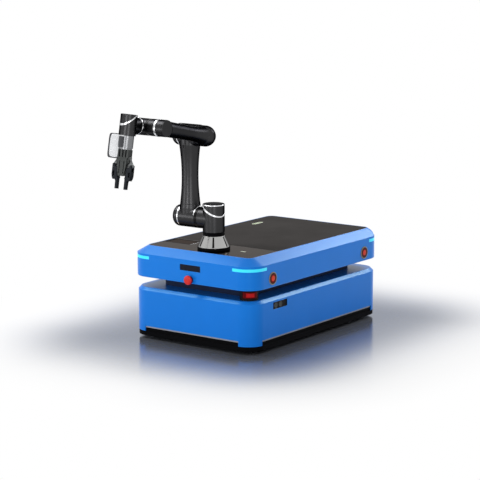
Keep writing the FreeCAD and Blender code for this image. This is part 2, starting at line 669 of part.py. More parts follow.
def make_casters():
    """Four swivel casters, each under a small mounting plate on four posts."""
    floor = "chassis_bottom+chassis_thickness"
    top = "turret_height"
    turrets = []
    for x_sign, lengthwise in ((1, "front"), (-1, "rear")):
        for y_sign, sideways in ((1, "left"), (-1, "right")):
            x = "%d*caster_x" % x_sign
            y = "%d*caster_y" % y_sign
            half_plate = "(caster_well+post_inset+post_radius)"
            slab_low = top + "-turret_top"
            plate = centred_box("2*" + half_plate, "2*" + half_plate, "turret_top", x, y, slab_low)
            bore = cylinder("caster_stem_radius+turn_gap", "2*turret_height", x, y, "0")
            turrets.append(cut(plate, [bore]))
            for post_x in ("+", "-"):
                for post_y in ("+", "-"):
                    turrets.append(cylinder("post_radius", slab_low + "-(%s)" % floor,
                                            x + post_x + "(caster_well+post_inset)",
                                            y + post_y + "(caster_well+post_inset)", floor))

            crown_top = top + "-turret_top-fit_gap"
            crown = cylinder("fork_crown_radius", "fork_crown", "0", "0", crown_top + "-fork_crown")
            stem = cylinder("caster_stem_radius", "turret_top+2*fit_gap", "0", "0", crown_top)
            nut = cylinder("caster_stem_radius*1.7", "6", "0", "0", top + "+fit_gap")
            legs = []
            for leg_side in ("", "-"):
                leg_points = [
                    ("-caster_trail-9", "caster_radius-9"), ("-caster_trail+9", "caster_radius-9"),
                    ("16", crown_top + "-fork_crown"), ("16", crown_top), ("-24", crown_top),
                    ("-caster_trail-9", crown_top + "-fork_crown"),
                ]
                offset = "caster_width/2+1.5" if leg_side else "-caster_width/2-1.5-fork_leg"
                legs.append(pad(leg_points, "XZ_Plane", "fork_leg", offset))
            axle = cylinder("caster_axle_radius", "caster_width+3+2*fork_leg", "-caster_trail",
                            "-caster_width/2-1.5-fork_leg", "caster_radius", "Y")
            fork = fuse([crown, stem, nut] + legs + [axle])
            place = Placement(Vector(x_sign * size_of("caster_x"), y_sign * size_of("caster_y"), 0), Rotation())
            node("caster_fork_%s_%s" % (lengthwise, sideways), fork, place)

            half = "caster_width/2"
            bore_radius = "caster_axle_radius+turn_gap"
            profile = [
                (bore_radius, "-(%s)" % half), ("caster_radius*0.4", "-(%s)" % half),
                ("caster_radius*0.5", "-(%s)+4" % half), ("caster_radius*0.75", "-(%s)+4" % half),
                ("caster_radius*0.85", "-(%s)" % half), ("caster_radius-3", "-(%s)" % half),
                ("caster_radius", "-(%s)+4" % half), ("caster_radius", half + "-4"),
                ("caster_radius-3", half), ("caster_radius*0.85", half), ("caster_radius*0.75", half + "-4"),
                ("caster_radius*0.5", half + "-4"), ("caster_radius*0.4", half), (bore_radius, half),
            ]
            axle_place = Vector(x_sign * size_of("caster_x") - size_of("caster_trail"),
                                y_sign * size_of("caster_y"), size_of("caster_radius"))
            node("caster_wheel_%s_%s" % (lengthwise, sideways), revolve(profile),
                 Placement(axle_place, AXIS_TURN["Y"]))
    node("caster_turrets", group(turrets))


def make_energy():
    floor = "chassis_bottom+chassis_thickness"
    battery = centred_box("battery_length", "battery_width", "battery_height", "-battery_x", "0", floor)
    handle = cut(centred_box("battery_length*0.5", "20", "24", "-battery_x", "0", floor + "+battery_height"),
                 [centred_box("battery_length*0.5-24", "30", "12", "-battery_x", "0", floor + "+battery_height")])
    node("battery_pack", fuse([battery, handle]))
    case = centred_box("control_length", "control_width", "control_height", "control_x", "0", floor)
    fins = [centred_box("3", "control_width-20", "14", "control_x-%d*control_length/16" % step, "0",
                        floor + "+control_height") for step in (-6, -4, -2, 0, 2, 4, 6)]
    node("control_box", fuse([case] + fins))


# ---------------------------------------------------------------- arm
def pitched(angle):
    """The turn that lifts +X towards +Z."""
    return Rotation(Vector(0, 1, 0), -angle)


def joint_points():
    """Where each arm joint lies at rest, on the arm's own middle plane."""
    shoulder = Vector(size_of("arm_x"), size_of("arm_y"), size_of("deck_height") + size_of("shoulder_rise"))
    elbow = shoulder + Vector(0, 0, size_of("upper_arm_length"))
    lift = radians(size_of("forearm_pitch"))
    wrist = elbow + Vector(cos(lift), 0, sin(lift)) * size_of("forearm_length")
    tilt = radians(size_of("wrist_pitch"))
    hand = wrist + Vector(cos(tilt), 0, sin(tilt)) * size_of("wrist_reach")
    hand = hand + Vector(0, -size_of("wrist_offset"), 0)
    return shoulder, elbow, wrist, hand


SHOULDER, ELBOW, WRIST, HAND = joint_points()
UPRIGHT = Rotation()
FOREARM_TURN = pitched(size_of("forearm_pitch"))
WRIST_TURN = pitched(size_of("wrist_pitch"))
HAND_TURN = WRIST_TURN * Rotation(Vector(1, 0, 0), -size_of("wrist_roll"))
FLANGE = HAND + HAND_TURN.multVec(Vector(0, 0, -size_of("hand_bottom")))


def slab(x_angle, y_angle, thickness, z, bearing=0):
    """A wide tilted plate, so thick measured upright, whose lower face passes through 0, 0, z.
    The bearing turns it about Z."""
    across = "(%s)*cos(%sdeg)*cos(%sdeg)" % (thickness, abs(x_angle), abs(y_angle))
    plate = box("400", "400", across, "-200", "-200", "0")
    holder = group([plate])
    tilt = Rotation(Vector(1, 0, 0), x_angle) * Rotation(Vector(0, 1, 0), y_angle)
    holder.Placement = Placement(Vector(), Rotation(Vector(0, 0, 1), bearing) * tilt)
    bind(holder, "Placement.Base.z", z)
    return holder


def make_arm_base():
    deck = "deck_height"
    ring = cylinder("foot_radius", "foot_height", "arm_x", "arm_y", deck)
    collar_low = deck + "+foot_height+cone_height"
    collar = cylinder("cone_top_radius-1", "collar_height", "arm_x", "arm_y", collar_low)
    rim = cylinder("arm_radius", "collar_height-8", "arm_x", "arm_y", collar_low + "+4")
    node("arm_base_rings", group([ring, fuse([collar, rim])]))
    body = cone("cone_bottom_radius", "cone_top_radius", "cone_height", "arm_x", "arm_y", deck + "+foot_height")
    lean = -degrees(atan2(size_of("cone_bottom_radius") - size_of("cone_top_radius"), size_of("cone_height")))
    grooves = []
    for step in range(6):
        bearing = 35 + 60 * step
        bar = cylinder("cone_groove", "2*cone_height", "0", "0", "-cone_height/2")
        holder = group([bar])
        holder.Placement = Placement(Vector(), Rotation(Vector(0, 0, 1), bearing) * Rotation(Vector(0, 1, 0), lean))
        rim = "(cone_bottom_radius+cone_groove/2)"
        bind(holder, "Placement.Base.x", "arm_x+%s*cos(%ddeg)" % (rim, bearing))
        bind(holder, "Placement.Base.y", "arm_y+%s*sin(%ddeg)" % (rim, bearing))
        bind(holder, "Placement.Base.z", deck + "+foot_height")
        grooves.append(holder)
    node("arm_base_cone", cut(body, grooves))


def make_shoulder():
    low = "foot_height+cone_height+collar_height+fit_gap-shoulder_rise"
    column = cylinder("arm_radius", "shoulder_top-shoulder_rise-(%s)" % low, "0", "0", low)
    outlet = cylinder("arm_radius-0.5", "joint_face-groove_width", "0", "-joint_face+groove_width", "0", "Y")
    neck = cylinder("arm_radius-groove_depth", "joint_face-fit_gap/2", "0", "-joint_face+fit_gap/2", "0", "Y")
    angle = -size_of("cover_slope")
    bearing = -size_of("cover_turn")
    above = slab(angle, 0, "300", "cover_drop-slope_trim/2", bearing)
    node("shoulder_housing", cut(fuse([column, outlet, neck]), [above]), Placement(SHOULDER, UPRIGHT))

    crown = cylinder("arm_radius", "shoulder_top-shoulder_rise", "0", "0", "0")
    crown = round_primitive(crown, at_height(size_of("shoulder_top") - size_of("shoulder_rise")), "edge_round")
    top_slab = slab(angle, 0, "300", "cover_drop+slope_trim/2", bearing)
    ring_low = "shoulder_top-shoulder_rise-top_ring_drop"
    ring_zone = cut(cylinder("arm_radius+5", "top_ring", "0", "0", ring_low),
                    [cylinder("arm_radius-band_depth", "top_ring", "0", "0", ring_low)])
    node("shoulder_cover", cut(common(crown, top_slab), [ring_zone]), Placement(SHOULDER, UPRIGHT))

    band = cut(cylinder("arm_radius+trim_proud", "200", "0", "0", "-60"),
               [cylinder("arm_radius-trim_depth", "200", "0", "0", "-60")])
    capped = common(band, box("200", "200", ring_low + "+60", "-100", "-100", "-60"))
    oblique = common(capped, slab(angle, 0, "slope_trim", "cover_drop-slope_trim/2", bearing))
    top_ring = common(cut(cylinder("arm_radius+trim_proud", "top_ring", "0", "0", ring_low),
                          [cylinder("arm_radius-band_depth", "top_ring", "0", "0", ring_low)]), top_slab)
    node("shoulder_trim", group([oblique, top_ring]), Placement(SHOULDER, UPRIGHT))


def make_upper_arm():
    face = "joint_face+fit_gap/2"
    tube = cylinder("tube_radius", "upper_arm_length", "0", "-upper_arm_offset", "0")
    bend = "((tube_waist_length/2)^2+tube_waist^2)/(2*tube_waist)"
    waist = torus("tube_radius-tube_waist+" + bend, bend, "0", "-upper_arm_offset", "upper_arm_length/2")
    seams = []
    for level in ("lower_seam", "upper_arm_length-upper_seam"):
        seams.append(cut(cylinder("tube_radius+10", "seam_width", "0", "-upper_arm_offset", level),
                         [cylinder("tube_radius-2.5-seam_depth", "seam_width", "0", "-upper_arm_offset", level)]))
    vent = box("30", "vent_width", "vent_length", "tube_radius-4", "-upper_arm_offset-vent_width/2",
               "upper_arm_length-upper_seam+16")
    hubs = []
    cap_rooms = []
    for level in ("0", "upper_arm_length"):
        hubs.append(cylinder("arm_radius", "ring_offset-trim_width/2-(%s)" % face, "0",
                             "-ring_offset+trim_width/2", level, "Y"))
        cap_rooms.append(cylinder("arm_radius+trim_proud", "100", "0", "-ring_offset+trim_width/2-100", level, "Y"))
    node("upper_arm_casting", cut(fuse([cut(tube, [waist])] + hubs), seams + [vent] + cap_rooms),
         Placement(SHOULDER, UPRIGHT))

    caps = []
    rings = []
    for level in ("0", "upper_arm_length"):
        cap = cylinder("arm_radius", "cap_length", "0", "0", "0")
        cap = round_primitive(cap, at_height(size_of("cap_length")), "cap_round")
        holder = group([cap])
        holder.Placement = Placement(Vector(), Rotation(Vector(1, 0, 0), 90))
        bind(holder, "Placement.Base.y", "-ring_offset-trim_width/2")
        bind(holder, "Placement.Base.z", level)
        caps.append(holder)
        rings.append(cylinder("arm_radius+trim_proud", "trim_width", "0", "-ring_offset-trim_width/2", level, "Y"))
    node("upper_arm_caps", group(caps), Placement(SHOULDER, UPRIGHT))
    node("upper_arm_trim", group(rings), Placement(SHOULDER, UPRIGHT))


def make_forearm():
    offset = "-forearm_offset"
    face = "joint_face-fit_gap/2"
    outlet = cylinder("elbow_radius", "joint_face-forearm_offset-groove_width/2", "0",
                      "-joint_face+groove_width/2", "0", "Y")
    neck = cylinder("elbow_radius-groove_depth", "(%s)-forearm_offset" % face, "0", "-(%s)" % face, "0", "Y")
    corner = ball("elbow_radius", "0", offset, "0")
    sag = "(forearm_root_radius-forearm_waist_radius)"
    bend = "((forearm_flare^2+%s^2)/(2*%s))" % (sag, sag)
    root = cylinder("forearm_root_radius", "forearm_flare", "0", offset, "0", "X")
    flare = torus("forearm_waist_radius+" + bend, bend, "forearm_flare", offset, "0", "X")
    tube = cone("forearm_waist_radius", "forearm_tip_radius", "forearm_length-forearm_flare", "forearm_flare",
                offset, "0", "X")
    hub = cylinder("wrist_radius", "wrist_face-wrist_cap_face-groove_width", "forearm_length",
                   "-wrist_face+groove_width", "0", "Y")
    hub_neck = cylinder("wrist_radius-groove_depth", "groove_width+5", "forearm_length",
                        "-wrist_face+fit_gap/2", "0", "Y")
    cover_zone = elbow_zone()
    ring_room = cut(cylinder("wrist_radius+5", "trim_width", "forearm_length", "-wrist_ring-trim_width/2", "0", "Y"),
                    [cylinder("wrist_radius-band_depth", "trim_width", "forearm_length", "-wrist_ring-trim_width/2", "0", "Y")])
    ring_room_clear = cut(ring_room, [cylinder("forearm_tip_radius", "forearm_length", "0", offset, "0", "X")])
    hub_room = cylinder("arm_radius+hub_clearance", "200", "0", "-(%s)-200" % face, "0", "Y")
    groove = cut(cylinder("elbow_radius+5", "groove_width/2", "0", "-(%s)" % face, "0", "Y"),
                 [cylinder("elbow_radius-groove_depth", "groove_width", "0", "-(%s)" % face, "0", "Y")])
    cap_room = cylinder("wrist_radius+5", "40", "forearm_length", "-wrist_cap_face", "0", "Y")
    bulk = cut(fuse([outlet, corner, cut(root, [flare]), tube]), [groove, hub_room, cap_room])
    solid = fuse([bulk, neck, hub, hub_neck])
    node("forearm_casting", cut(solid, [cover_zone, ring_room_clear]), Placement(ELBOW, FOREARM_TURN))

    cover = common(ball("elbow_radius", "0", offset, "0"), elbow_zone())
    disc = cylinder("wrist_radius-wrist_cap_step", "wrist_cap_depth", "0", "0", "0")
    disc = round_primitive(disc, at_height(size_of("wrist_cap_depth")), "seam_width")
    holder = group([disc])
    holder.Placement = Placement(Vector(), AXIS_TURN["Y"])
    bind(holder, "Placement.Base.x", "forearm_length")
    bind(holder, "Placement.Base.y", "-wrist_cap_face")
    node("forearm_caps", group([cover, holder]), Placement(ELBOW, FOREARM_TURN))

    band = cut(cylinder("wrist_radius+trim_proud", "trim_width", "forearm_length", "-wrist_ring-trim_width/2",
                        "0", "Y"),
               [cylinder("wrist_radius-band_depth", "trim_width", "forearm_length", "-wrist_ring-trim_width/2", "0", "Y")])
    trimmed = cut(band, [cylinder("forearm_tip_radius", "forearm_length", "0", offset, "0", "X")])
    node("forearm_trim", trimmed, Placement(ELBOW, FOREARM_TURN))


def elbow_zone():
    """The space behind the elbow's slanting parting plane."""
    zone = box("200", "200", "200", "elbow_cover_shift", "-100", "-100")
    holder = group([zone])
    holder.Placement = Placement(Vector(), Rotation(Vector(0, 0, 1), 135))
    bind(holder, "Placement.Base.y", "-forearm_offset")
    return holder


def make_wrist():
    y_end = "-wrist_offset"
    root = cylinder("wrist_radius", "wrist_offset-wrist_face-fit_gap/2", "0", y_end, "0", "Y")
    corner = ball("wrist_radius", "0", y_end, "0")
    outlet = cylinder("wrist_radius", "wrist_joint-groove_width/2", "0", y_end, "0", "X")
    neck = cylinder("wrist_radius-groove_depth", "wrist_joint-fit_gap/2", "0", y_end, "0", "X")
    node("wrist_1_housing", fuse([root, corner, outlet, neck]), Placement(WRIST, WRIST_TURN))

    column = cylinder("hand_radius", "hand_top+hand_bottom", "0", "0", "-hand_bottom")
    inlet = cylinder("hand_radius-0.5", "wrist_reach-wrist_joint-fit_gap/2", "-wrist_reach+wrist_joint+fit_gap/2",
                     "0", "0", "X")
    angle = size_of("hand_cover_slope")
    above = slab(0, angle, "300", "hand_cover_drop-slope_trim/2")
    node("wrist_2_housing", cut(fuse([column, inlet]), [above]), Placement(HAND, HAND_TURN))
    crown = round_primitive(cylinder("hand_radius", "hand_top+hand_bottom", "0", "0", "-hand_bottom"),
                            at_height(size_of("hand_top")), "edge_round")
    node("wrist_2_cover", common(crown, slab(0, angle, "300", "hand_cover_drop+slope_trim/2")),
         Placement(HAND, HAND_TURN))
    band = cut(cylinder("hand_radius+trim_proud", "hand_top+hand_bottom-edge_round", "0", "0", "-hand_bottom"),
               [cylinder("hand_radius-trim_depth", "200", "0", "0", "-100")])
    node("wrist_2_trim", common(band, slab(0, angle, "slope_trim", "hand_cover_drop-slope_trim/2")),
         Placement(HAND, HAND_TURN))


# ---------------------------------------------------------------- tool
def make_tool():
    """Adaptor and camera under the last joint.  Z runs up from the flange face."""
    drum = cylinder("adaptor_radius", "adaptor_length-fit_gap", "0", "0", "-adaptor_length")
    spigot = cylinder("coupling_radius", "coupling_length", "0", "0", "-adaptor_length-coupling_length")
    node("tool_adaptor", fuse([drum, spigot]), Placement(FLANGE, HAND_TURN))

    low = "-camera_length-camera_top"
    half_y = "camera_width/2"
    near_y = "-camera_offset+" + half_y
    far_y = "-camera_offset-" + half_y
    corners = [("-camera_back", far_y), ("camera_front", far_y), ("camera_front", near_y), ("-camera_back", near_y)]
    body = pad(corners, "XY_Plane", "camera_length", low)
    round_edges(body, upright, "camera_round")
    lens_room = centred_box("camera_back", "camera_width-14", "6", "0", "-camera_offset", low + "-4")
    lens = [cylinder("6", "4", "0", "-camera_offset+%scamera_width/5" % side, low) for side in ("", "-")]
    frame = box("frame_depth+camera_round", "camera_width", "frame_length", "camera_front-camera_round", far_y,
                "-frame_length")
    frame = round_primitive(frame, along("X"), "frame_round")
    face_zone = box("frame_depth", "camera_width", "frame_length", "camera_front", far_y, "-frame_length")
    casing = fuse([cut(body, [lens_room])] + lens)
    node("camera_body", fuse([casing, common(frame, face_zone)]), Placement(FLANGE, HAND_TURN))

    margin = "camera_cover_margin"
    cover = box("camera_cover_depth", "camera_width-2*" + margin, "frame_length-2*" + margin,
                "camera_front+frame_depth", far_y + "+" + margin, "-frame_length+" + margin)
    cover = round_primitive(cover, along("X"), "frame_round")
    bridge = box("camera_back+camera_front-8", "camera_offset-%s-adaptor_radius+8" % half_y, "bracket_thickness",
                 "-camera_back+4", near_y, "-camera_top-bracket_thickness-2")
    bridge_clear = cut(bridge, [cylinder("adaptor_radius", "80", "0", "0", "-80")])
    node("camera_covers", group([cover, bridge_clear]), Placement(FLANGE, HAND_TURN))


def make_palm():
    top = "-adaptor_length-coupling_length"
    block = centred_box("palm_thickness", "palm_width", "palm_length", "0", "0", top + "-palm_length")
    block = round_primitive(block, upright, "camera_round")
    ears = []
    for side in ("", "-"):
        inner = "link_thickness/2+fit_gap"
        x = inner if side == "" else "-(%s)-ear_thickness" % inner
        ears.append(box("ear_thickness", "2*outer_pivot_y+16", "ear_length+2", x, "-outer_pivot_y-8",
                        top + "-palm_length-ear_length"))
    pins = []
    for y, drop in (("outer_pivot_y", "outer_pivot_drop"), ("inner_pivot_y", "inner_pivot_drop")):
        for side in ("", "-"):
            pins.append(cylinder("pin_radius", "link_thickness+2*ear_thickness+2*fit_gap",
                                 "-link_thickness/2-ear_thickness-fit_gap", side + y, "-" + drop, "X"))
    link_room = [cylinder("link_radius+1.5", "link_thickness+2*fit_gap", "-link_thickness/2-fit_gap", side + y,
                          "-" + drop, "X")
                 for y, drop in (("outer_pivot_y", "outer_pivot_drop"), ("inner_pivot_y", "inner_pivot_drop"))
                 for side in ("", "-")]
    palm = cut(fuse([block] + ears), link_room)
    node("gripper_body", fuse([palm] + guides() + pins), Placement(FLANGE, HAND_TURN))


def guides():
    """Two slotted plates that hang from the palm in front of and behind the links."""
    top = "-adaptor_length-coupling_length-palm_length+guide_lap"
    points = [
        ("-guide_top", top), ("-guide_top", top + "-guide_waist_drop/2"), ("-guide_waist", top + "-guide_waist_drop"),
        ("-guide_tip", top + "-guide_length"), ("guide_tip", top + "-guide_length"),
        ("guide_waist", top + "-guide_waist_drop"), ("guide_top", top + "-guide_waist_drop/2"), ("guide_top", top),
    ]
    inner = "link_thickness/2+fit_gap+ear_thickness"
    slots = [box("100", "guide_slot", "guide_slot_length", "-50", "%s*guide_slot_y-guide_slot/2" % side,
                 top + "-guide_slot_top-guide_slot_length") for side in ("1", "-1")]
    plates = []
    for offset in (inner, "-(%s)-guide_thickness" % inner):
        plates.append(cut(pad(points, "YZ_Plane", "guide_thickness", offset), slots))
    return plates


def link(pivot_y, pivot_drop, sign):
    """A flat two-hole link that hangs outwards from its pivot."""
    bar = box("link_thickness", "2*link_radius-2", "link_length", "-link_thickness/2", "-link_radius+1",
              "-link_length")
    ends = [cylinder("link_radius", "link_thickness", "-link_thickness/2", "0", z, "X")
            for z in ("0", "-link_length")]
    loose = "2*" if pivot_y == "inner_pivot_y" else ""
    holes = [cylinder("pin_radius+%sturn_gap" % play, "link_thickness+2", "-link_thickness/2-1", "0", z, "X")
             for z, play in (("0", ""), ("-link_length", loose))]
    waist = [cylinder("link_radius-1", "link_thickness", x, "0", "-link_length/2", "X")
             for x in ("link_thickness/2-2", "-link_thickness*1.5+2")]
    shape = cut(fuse([bar] + ends), holes + waist)
    pivot = Vector(0, sign * size_of(pivot_y), -size_of(pivot_drop))
    lean = Rotation(Vector(1, 0, 0), sign * size_of("link_angle"))
    return shape, Placement(FLANGE, HAND_TURN) * Placement(pivot, lean)


def finger(sign):
    """Parallel finger: a forked upper part on two links and a slim tip."""
    reach = "link_length*sin(link_angle*1deg)"
    fall = "link_length*cos(link_angle*1deg)"
    outer = "(outer_pivot_y+%s)" % reach
    outer_z = "-(outer_pivot_drop+%s)" % fall
    inner = "(inner_pivot_y+%s)" % reach
    inner_z = "-(inner_pivot_drop+%s)" % fall
    low = "(outer_pivot_drop+%s+finger_drop)" % fall
    half = "grip_opening/2"
    points = [
        (outer + "+finger_edge", outer_z + "+4"), (outer + "+finger_edge", outer_z + "-42"),
        (outer + "+finger_edge-5", "-%s+tip_length-6" % low), (half + "+tip_thickness+3", "-%s+tip_length-6" % low),
        (half + "+tip_thickness", "-%s+tip_length-14" % low), (half + "+tip_thickness-1", "-" + low),
        (half, "-" + low), (half, "-%s+tip_length+4" % low), (inner + "-8", "-%s+tip_length+24" % low),
        (inner + "-8", inner_z + "-2"), (inner + "-4", inner_z + "+6"), (inner + "+5", inner_z + "+8"),
        (outer + "-7", outer_z + "+2"), (outer + "-4", outer_z + "+7"), (outer + "+1", outer_z + "+7"),
    ]
    signed = [("%d*(%s)" % (sign, y), z) for y, z in points]
    body = pad(signed, "YZ_Plane", "finger_thickness", "0", both_sides=True)
    fork = box("link_thickness+2*fit_gap", "80", "58", "-link_thickness/2-fit_gap",
               "%d*%s-40" % (sign, outer), inner_z + "-link_radius-2")
    window = centred_box("60", "9", "22", "0", "%d*(%s-6)" % (sign, outer), inner_z + "-link_radius-29")
    slim = [box("20", "60", "tip_length+20", x, "%d*(%s+tip_thickness/2)-30" % (sign, half),
                "-%s-20" % low) for x in ("tip_width/2", "-tip_width/2-20")]
    pins = [cylinder("pin_radius", "finger_thickness", "-finger_thickness/2", "%d*%s" % (sign, y), z, "X")
            for y, z in ((outer, outer_z), (inner, inner_z))]
    return fuse([cut(body, [fork, window] + slim)] + pins)


def make_gripper():
    make_palm()
    for sign, side in ((1, "left"), (-1, "right")):
        for kind in ("outer", "inner"):
            shape, place = link(kind + "_pivot_y", kind + "_pivot_drop", sign)
            node("%s_link_%s" % (kind, side), shape, place)
        node("finger_" + side, finger(sign), Placement(FLANGE, HAND_TURN))


# ---------------------------------------------------------------- build, check and write
def build():
    make_lower_housing()
    make_chassis()
    make_neck()
    make_upper_shell()
    make_deck()
    make_front_window()
    make_lamps()
    make_lidars()
    make_ports()
    make_emergency_stop()
    make_drive()
    make_casters()
    make_energy()
    make_arm_base()
    make_shoulder()
    make_upper_arm()
    make_forearm()
    make_wrist()
    make_tool()
    make_gripper()


def check():
    """Stop before anything is written if a feature or a sub-part is broken."""
    for thing in doc.Objects:
        if "Invalid" in thing.State or "Error" in thing.State:
            raise RuntimeError("failed: %s (%s)" % (thing.Name, thing.Label))
    for thing in NODES:
        if thing.Shape.isNull() or not thing.Shape.isValid() or not thing.Shape.Solids:
            raise RuntimeError("no valid solid: " + thing.Label)


def write():
    os.makedirs("parts", exist_ok=True)
    for thing in NODES:
        thing.Shape.exportStep("parts/%s.step" % thing.Label)
        print("%-24s %2d solids %12.0f mm3" % (thing.Label, len(thing.Shape.Solids), thing.Shape.Volume))


build()
doc.recompute()
check()
write()
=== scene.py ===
import json
import math

import bmesh
import bpy
from mathutils import Matrix, Vector


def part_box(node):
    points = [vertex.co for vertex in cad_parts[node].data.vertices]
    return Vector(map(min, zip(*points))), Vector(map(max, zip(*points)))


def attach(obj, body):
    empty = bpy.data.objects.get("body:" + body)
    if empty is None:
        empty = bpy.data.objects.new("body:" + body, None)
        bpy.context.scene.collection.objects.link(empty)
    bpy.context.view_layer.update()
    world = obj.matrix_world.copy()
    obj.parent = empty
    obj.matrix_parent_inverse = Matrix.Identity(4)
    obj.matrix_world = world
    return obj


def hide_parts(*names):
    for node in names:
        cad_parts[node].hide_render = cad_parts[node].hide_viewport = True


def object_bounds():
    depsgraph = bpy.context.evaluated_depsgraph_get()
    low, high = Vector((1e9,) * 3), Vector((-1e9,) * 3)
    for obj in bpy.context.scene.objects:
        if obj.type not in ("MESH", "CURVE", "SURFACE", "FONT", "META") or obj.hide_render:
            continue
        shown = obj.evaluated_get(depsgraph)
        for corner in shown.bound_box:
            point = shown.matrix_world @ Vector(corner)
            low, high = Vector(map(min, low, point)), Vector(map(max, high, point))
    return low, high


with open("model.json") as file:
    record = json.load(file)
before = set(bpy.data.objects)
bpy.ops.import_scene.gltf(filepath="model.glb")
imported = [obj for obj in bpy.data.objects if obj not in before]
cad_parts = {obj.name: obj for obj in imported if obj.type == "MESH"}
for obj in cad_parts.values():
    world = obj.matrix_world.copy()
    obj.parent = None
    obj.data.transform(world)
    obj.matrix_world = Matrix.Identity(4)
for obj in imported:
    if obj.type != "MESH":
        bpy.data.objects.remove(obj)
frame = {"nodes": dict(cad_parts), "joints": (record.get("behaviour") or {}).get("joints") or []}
CAD_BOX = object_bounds()
NODES = frame["nodes"]
JOINTS = {joint["name"]: joint for joint in frame["joints"]}
scene = bpy.context.scene


# ------------------------------------------------------------------ colours
def srgb(red, green, blue):
    """Linear colour from 0-255 screen values."""
    def channel(value):
        value = value / 255.0
        return value / 12.92 if value <= 0.04045 else ((value + 0.055) / 1.055) ** 2.4
    return (channel(red), channel(green), channel(blue), 1.0)


# ------------------------------------------------------------------ materials
DRIFT_STOPS = (0.3, 0.7)
DRIFT_SCALE = 6.0
ROUGHNESS_SPREAD = 0.06
GRAIN_DEPTH = 0.0004
FINE_EDGE = 0.0004
NO_STRETCH = (1.0, 1.0, 1.0)


def material(name, colour, roughness=0.45, metallic=0.0, specular=0.4, tint=None, spread=0.08,
             grain_scale=900.0, grain=0.05, glow=0.0, brushed=NO_STRETCH, edge=0.0012):
    """A procedural finish: colour drift, a varying roughness, a fine surface grain and softened edges."""
    mat = bpy.data.materials.new(name)
    mat.use_nodes = True
    tree = mat.node_tree
    links = tree.links
    shader = tree.nodes["Principled BSDF"]
    shader.inputs["Metallic"].default_value = metallic
    shader.inputs["Specular IOR Level"].default_value = specular
    if tint:
        shader.inputs["Specular Tint"].default_value = tint
    if glow:
        shader.inputs["Emission Color"].default_value = colour
        shader.inputs["Emission Strength"].default_value = glow
    place = tree.nodes.new("ShaderNodeTexCoord")
    cloud = tree.nodes.new("ShaderNodeTexNoise")
    cloud.inputs["Scale"].default_value = DRIFT_SCALE
    cloud.inputs["Detail"].default_value = 5.0
    links.new(place.outputs["Object"], cloud.inputs["Vector"])
    ramp = tree.nodes.new("ShaderNodeValToRGB")
    for stop, position, factor in zip(ramp.color_ramp.elements, DRIFT_STOPS, (1 - spread, 1 + spread)):
        stop.position = position
        stop.color = tuple(min(1.0, channel * factor) for channel in colour[:3]) + (1.0,)
    links.new(cloud.outputs["Fac"], ramp.inputs["Fac"])
    links.new(ramp.outputs["Color"], shader.inputs["Base Color"])
    fine = tree.nodes.new("ShaderNodeTexNoise")
    fine.inputs["Scale"].default_value = grain_scale
    fine.inputs["Detail"].default_value = 3.0
    stretch = tree.nodes.new("ShaderNodeMapping")
    stretch.inputs["Scale"].default_value = brushed
    links.new(place.outputs["Object"], stretch.inputs["Vector"])
    links.new(stretch.outputs["Vector"], fine.inputs["Vector"])
    gloss = tree.nodes.new("ShaderNodeMapRange")
    gloss.inputs["To Min"].default_value = max(0.02, roughness - ROUGHNESS_SPREAD)
    gloss.inputs["To Max"].default_value = min(1.0, roughness + ROUGHNESS_SPREAD)
    links.new(fine.outputs["Fac"], gloss.inputs["Value"])
    links.new(gloss.outputs["Result"], shader.inputs["Roughness"])
    soft_edge = tree.nodes.new("ShaderNodeBevel")
    soft_edge.samples = 6
    soft_edge.inputs["Radius"].default_value = edge
    bump = tree.nodes.new("ShaderNodeBump")
    bump.inputs["Strength"].default_value = grain
    bump.inputs["Distance"].default_value = GRAIN_DEPTH
    links.new(fine.outputs["Fac"], bump.inputs["Height"])
    links.new(soft_edge.outputs["Normal"], bump.inputs["Normal"])
    links.new(bump.outputs["Normal"], shader.inputs["Normal"])
    return mat


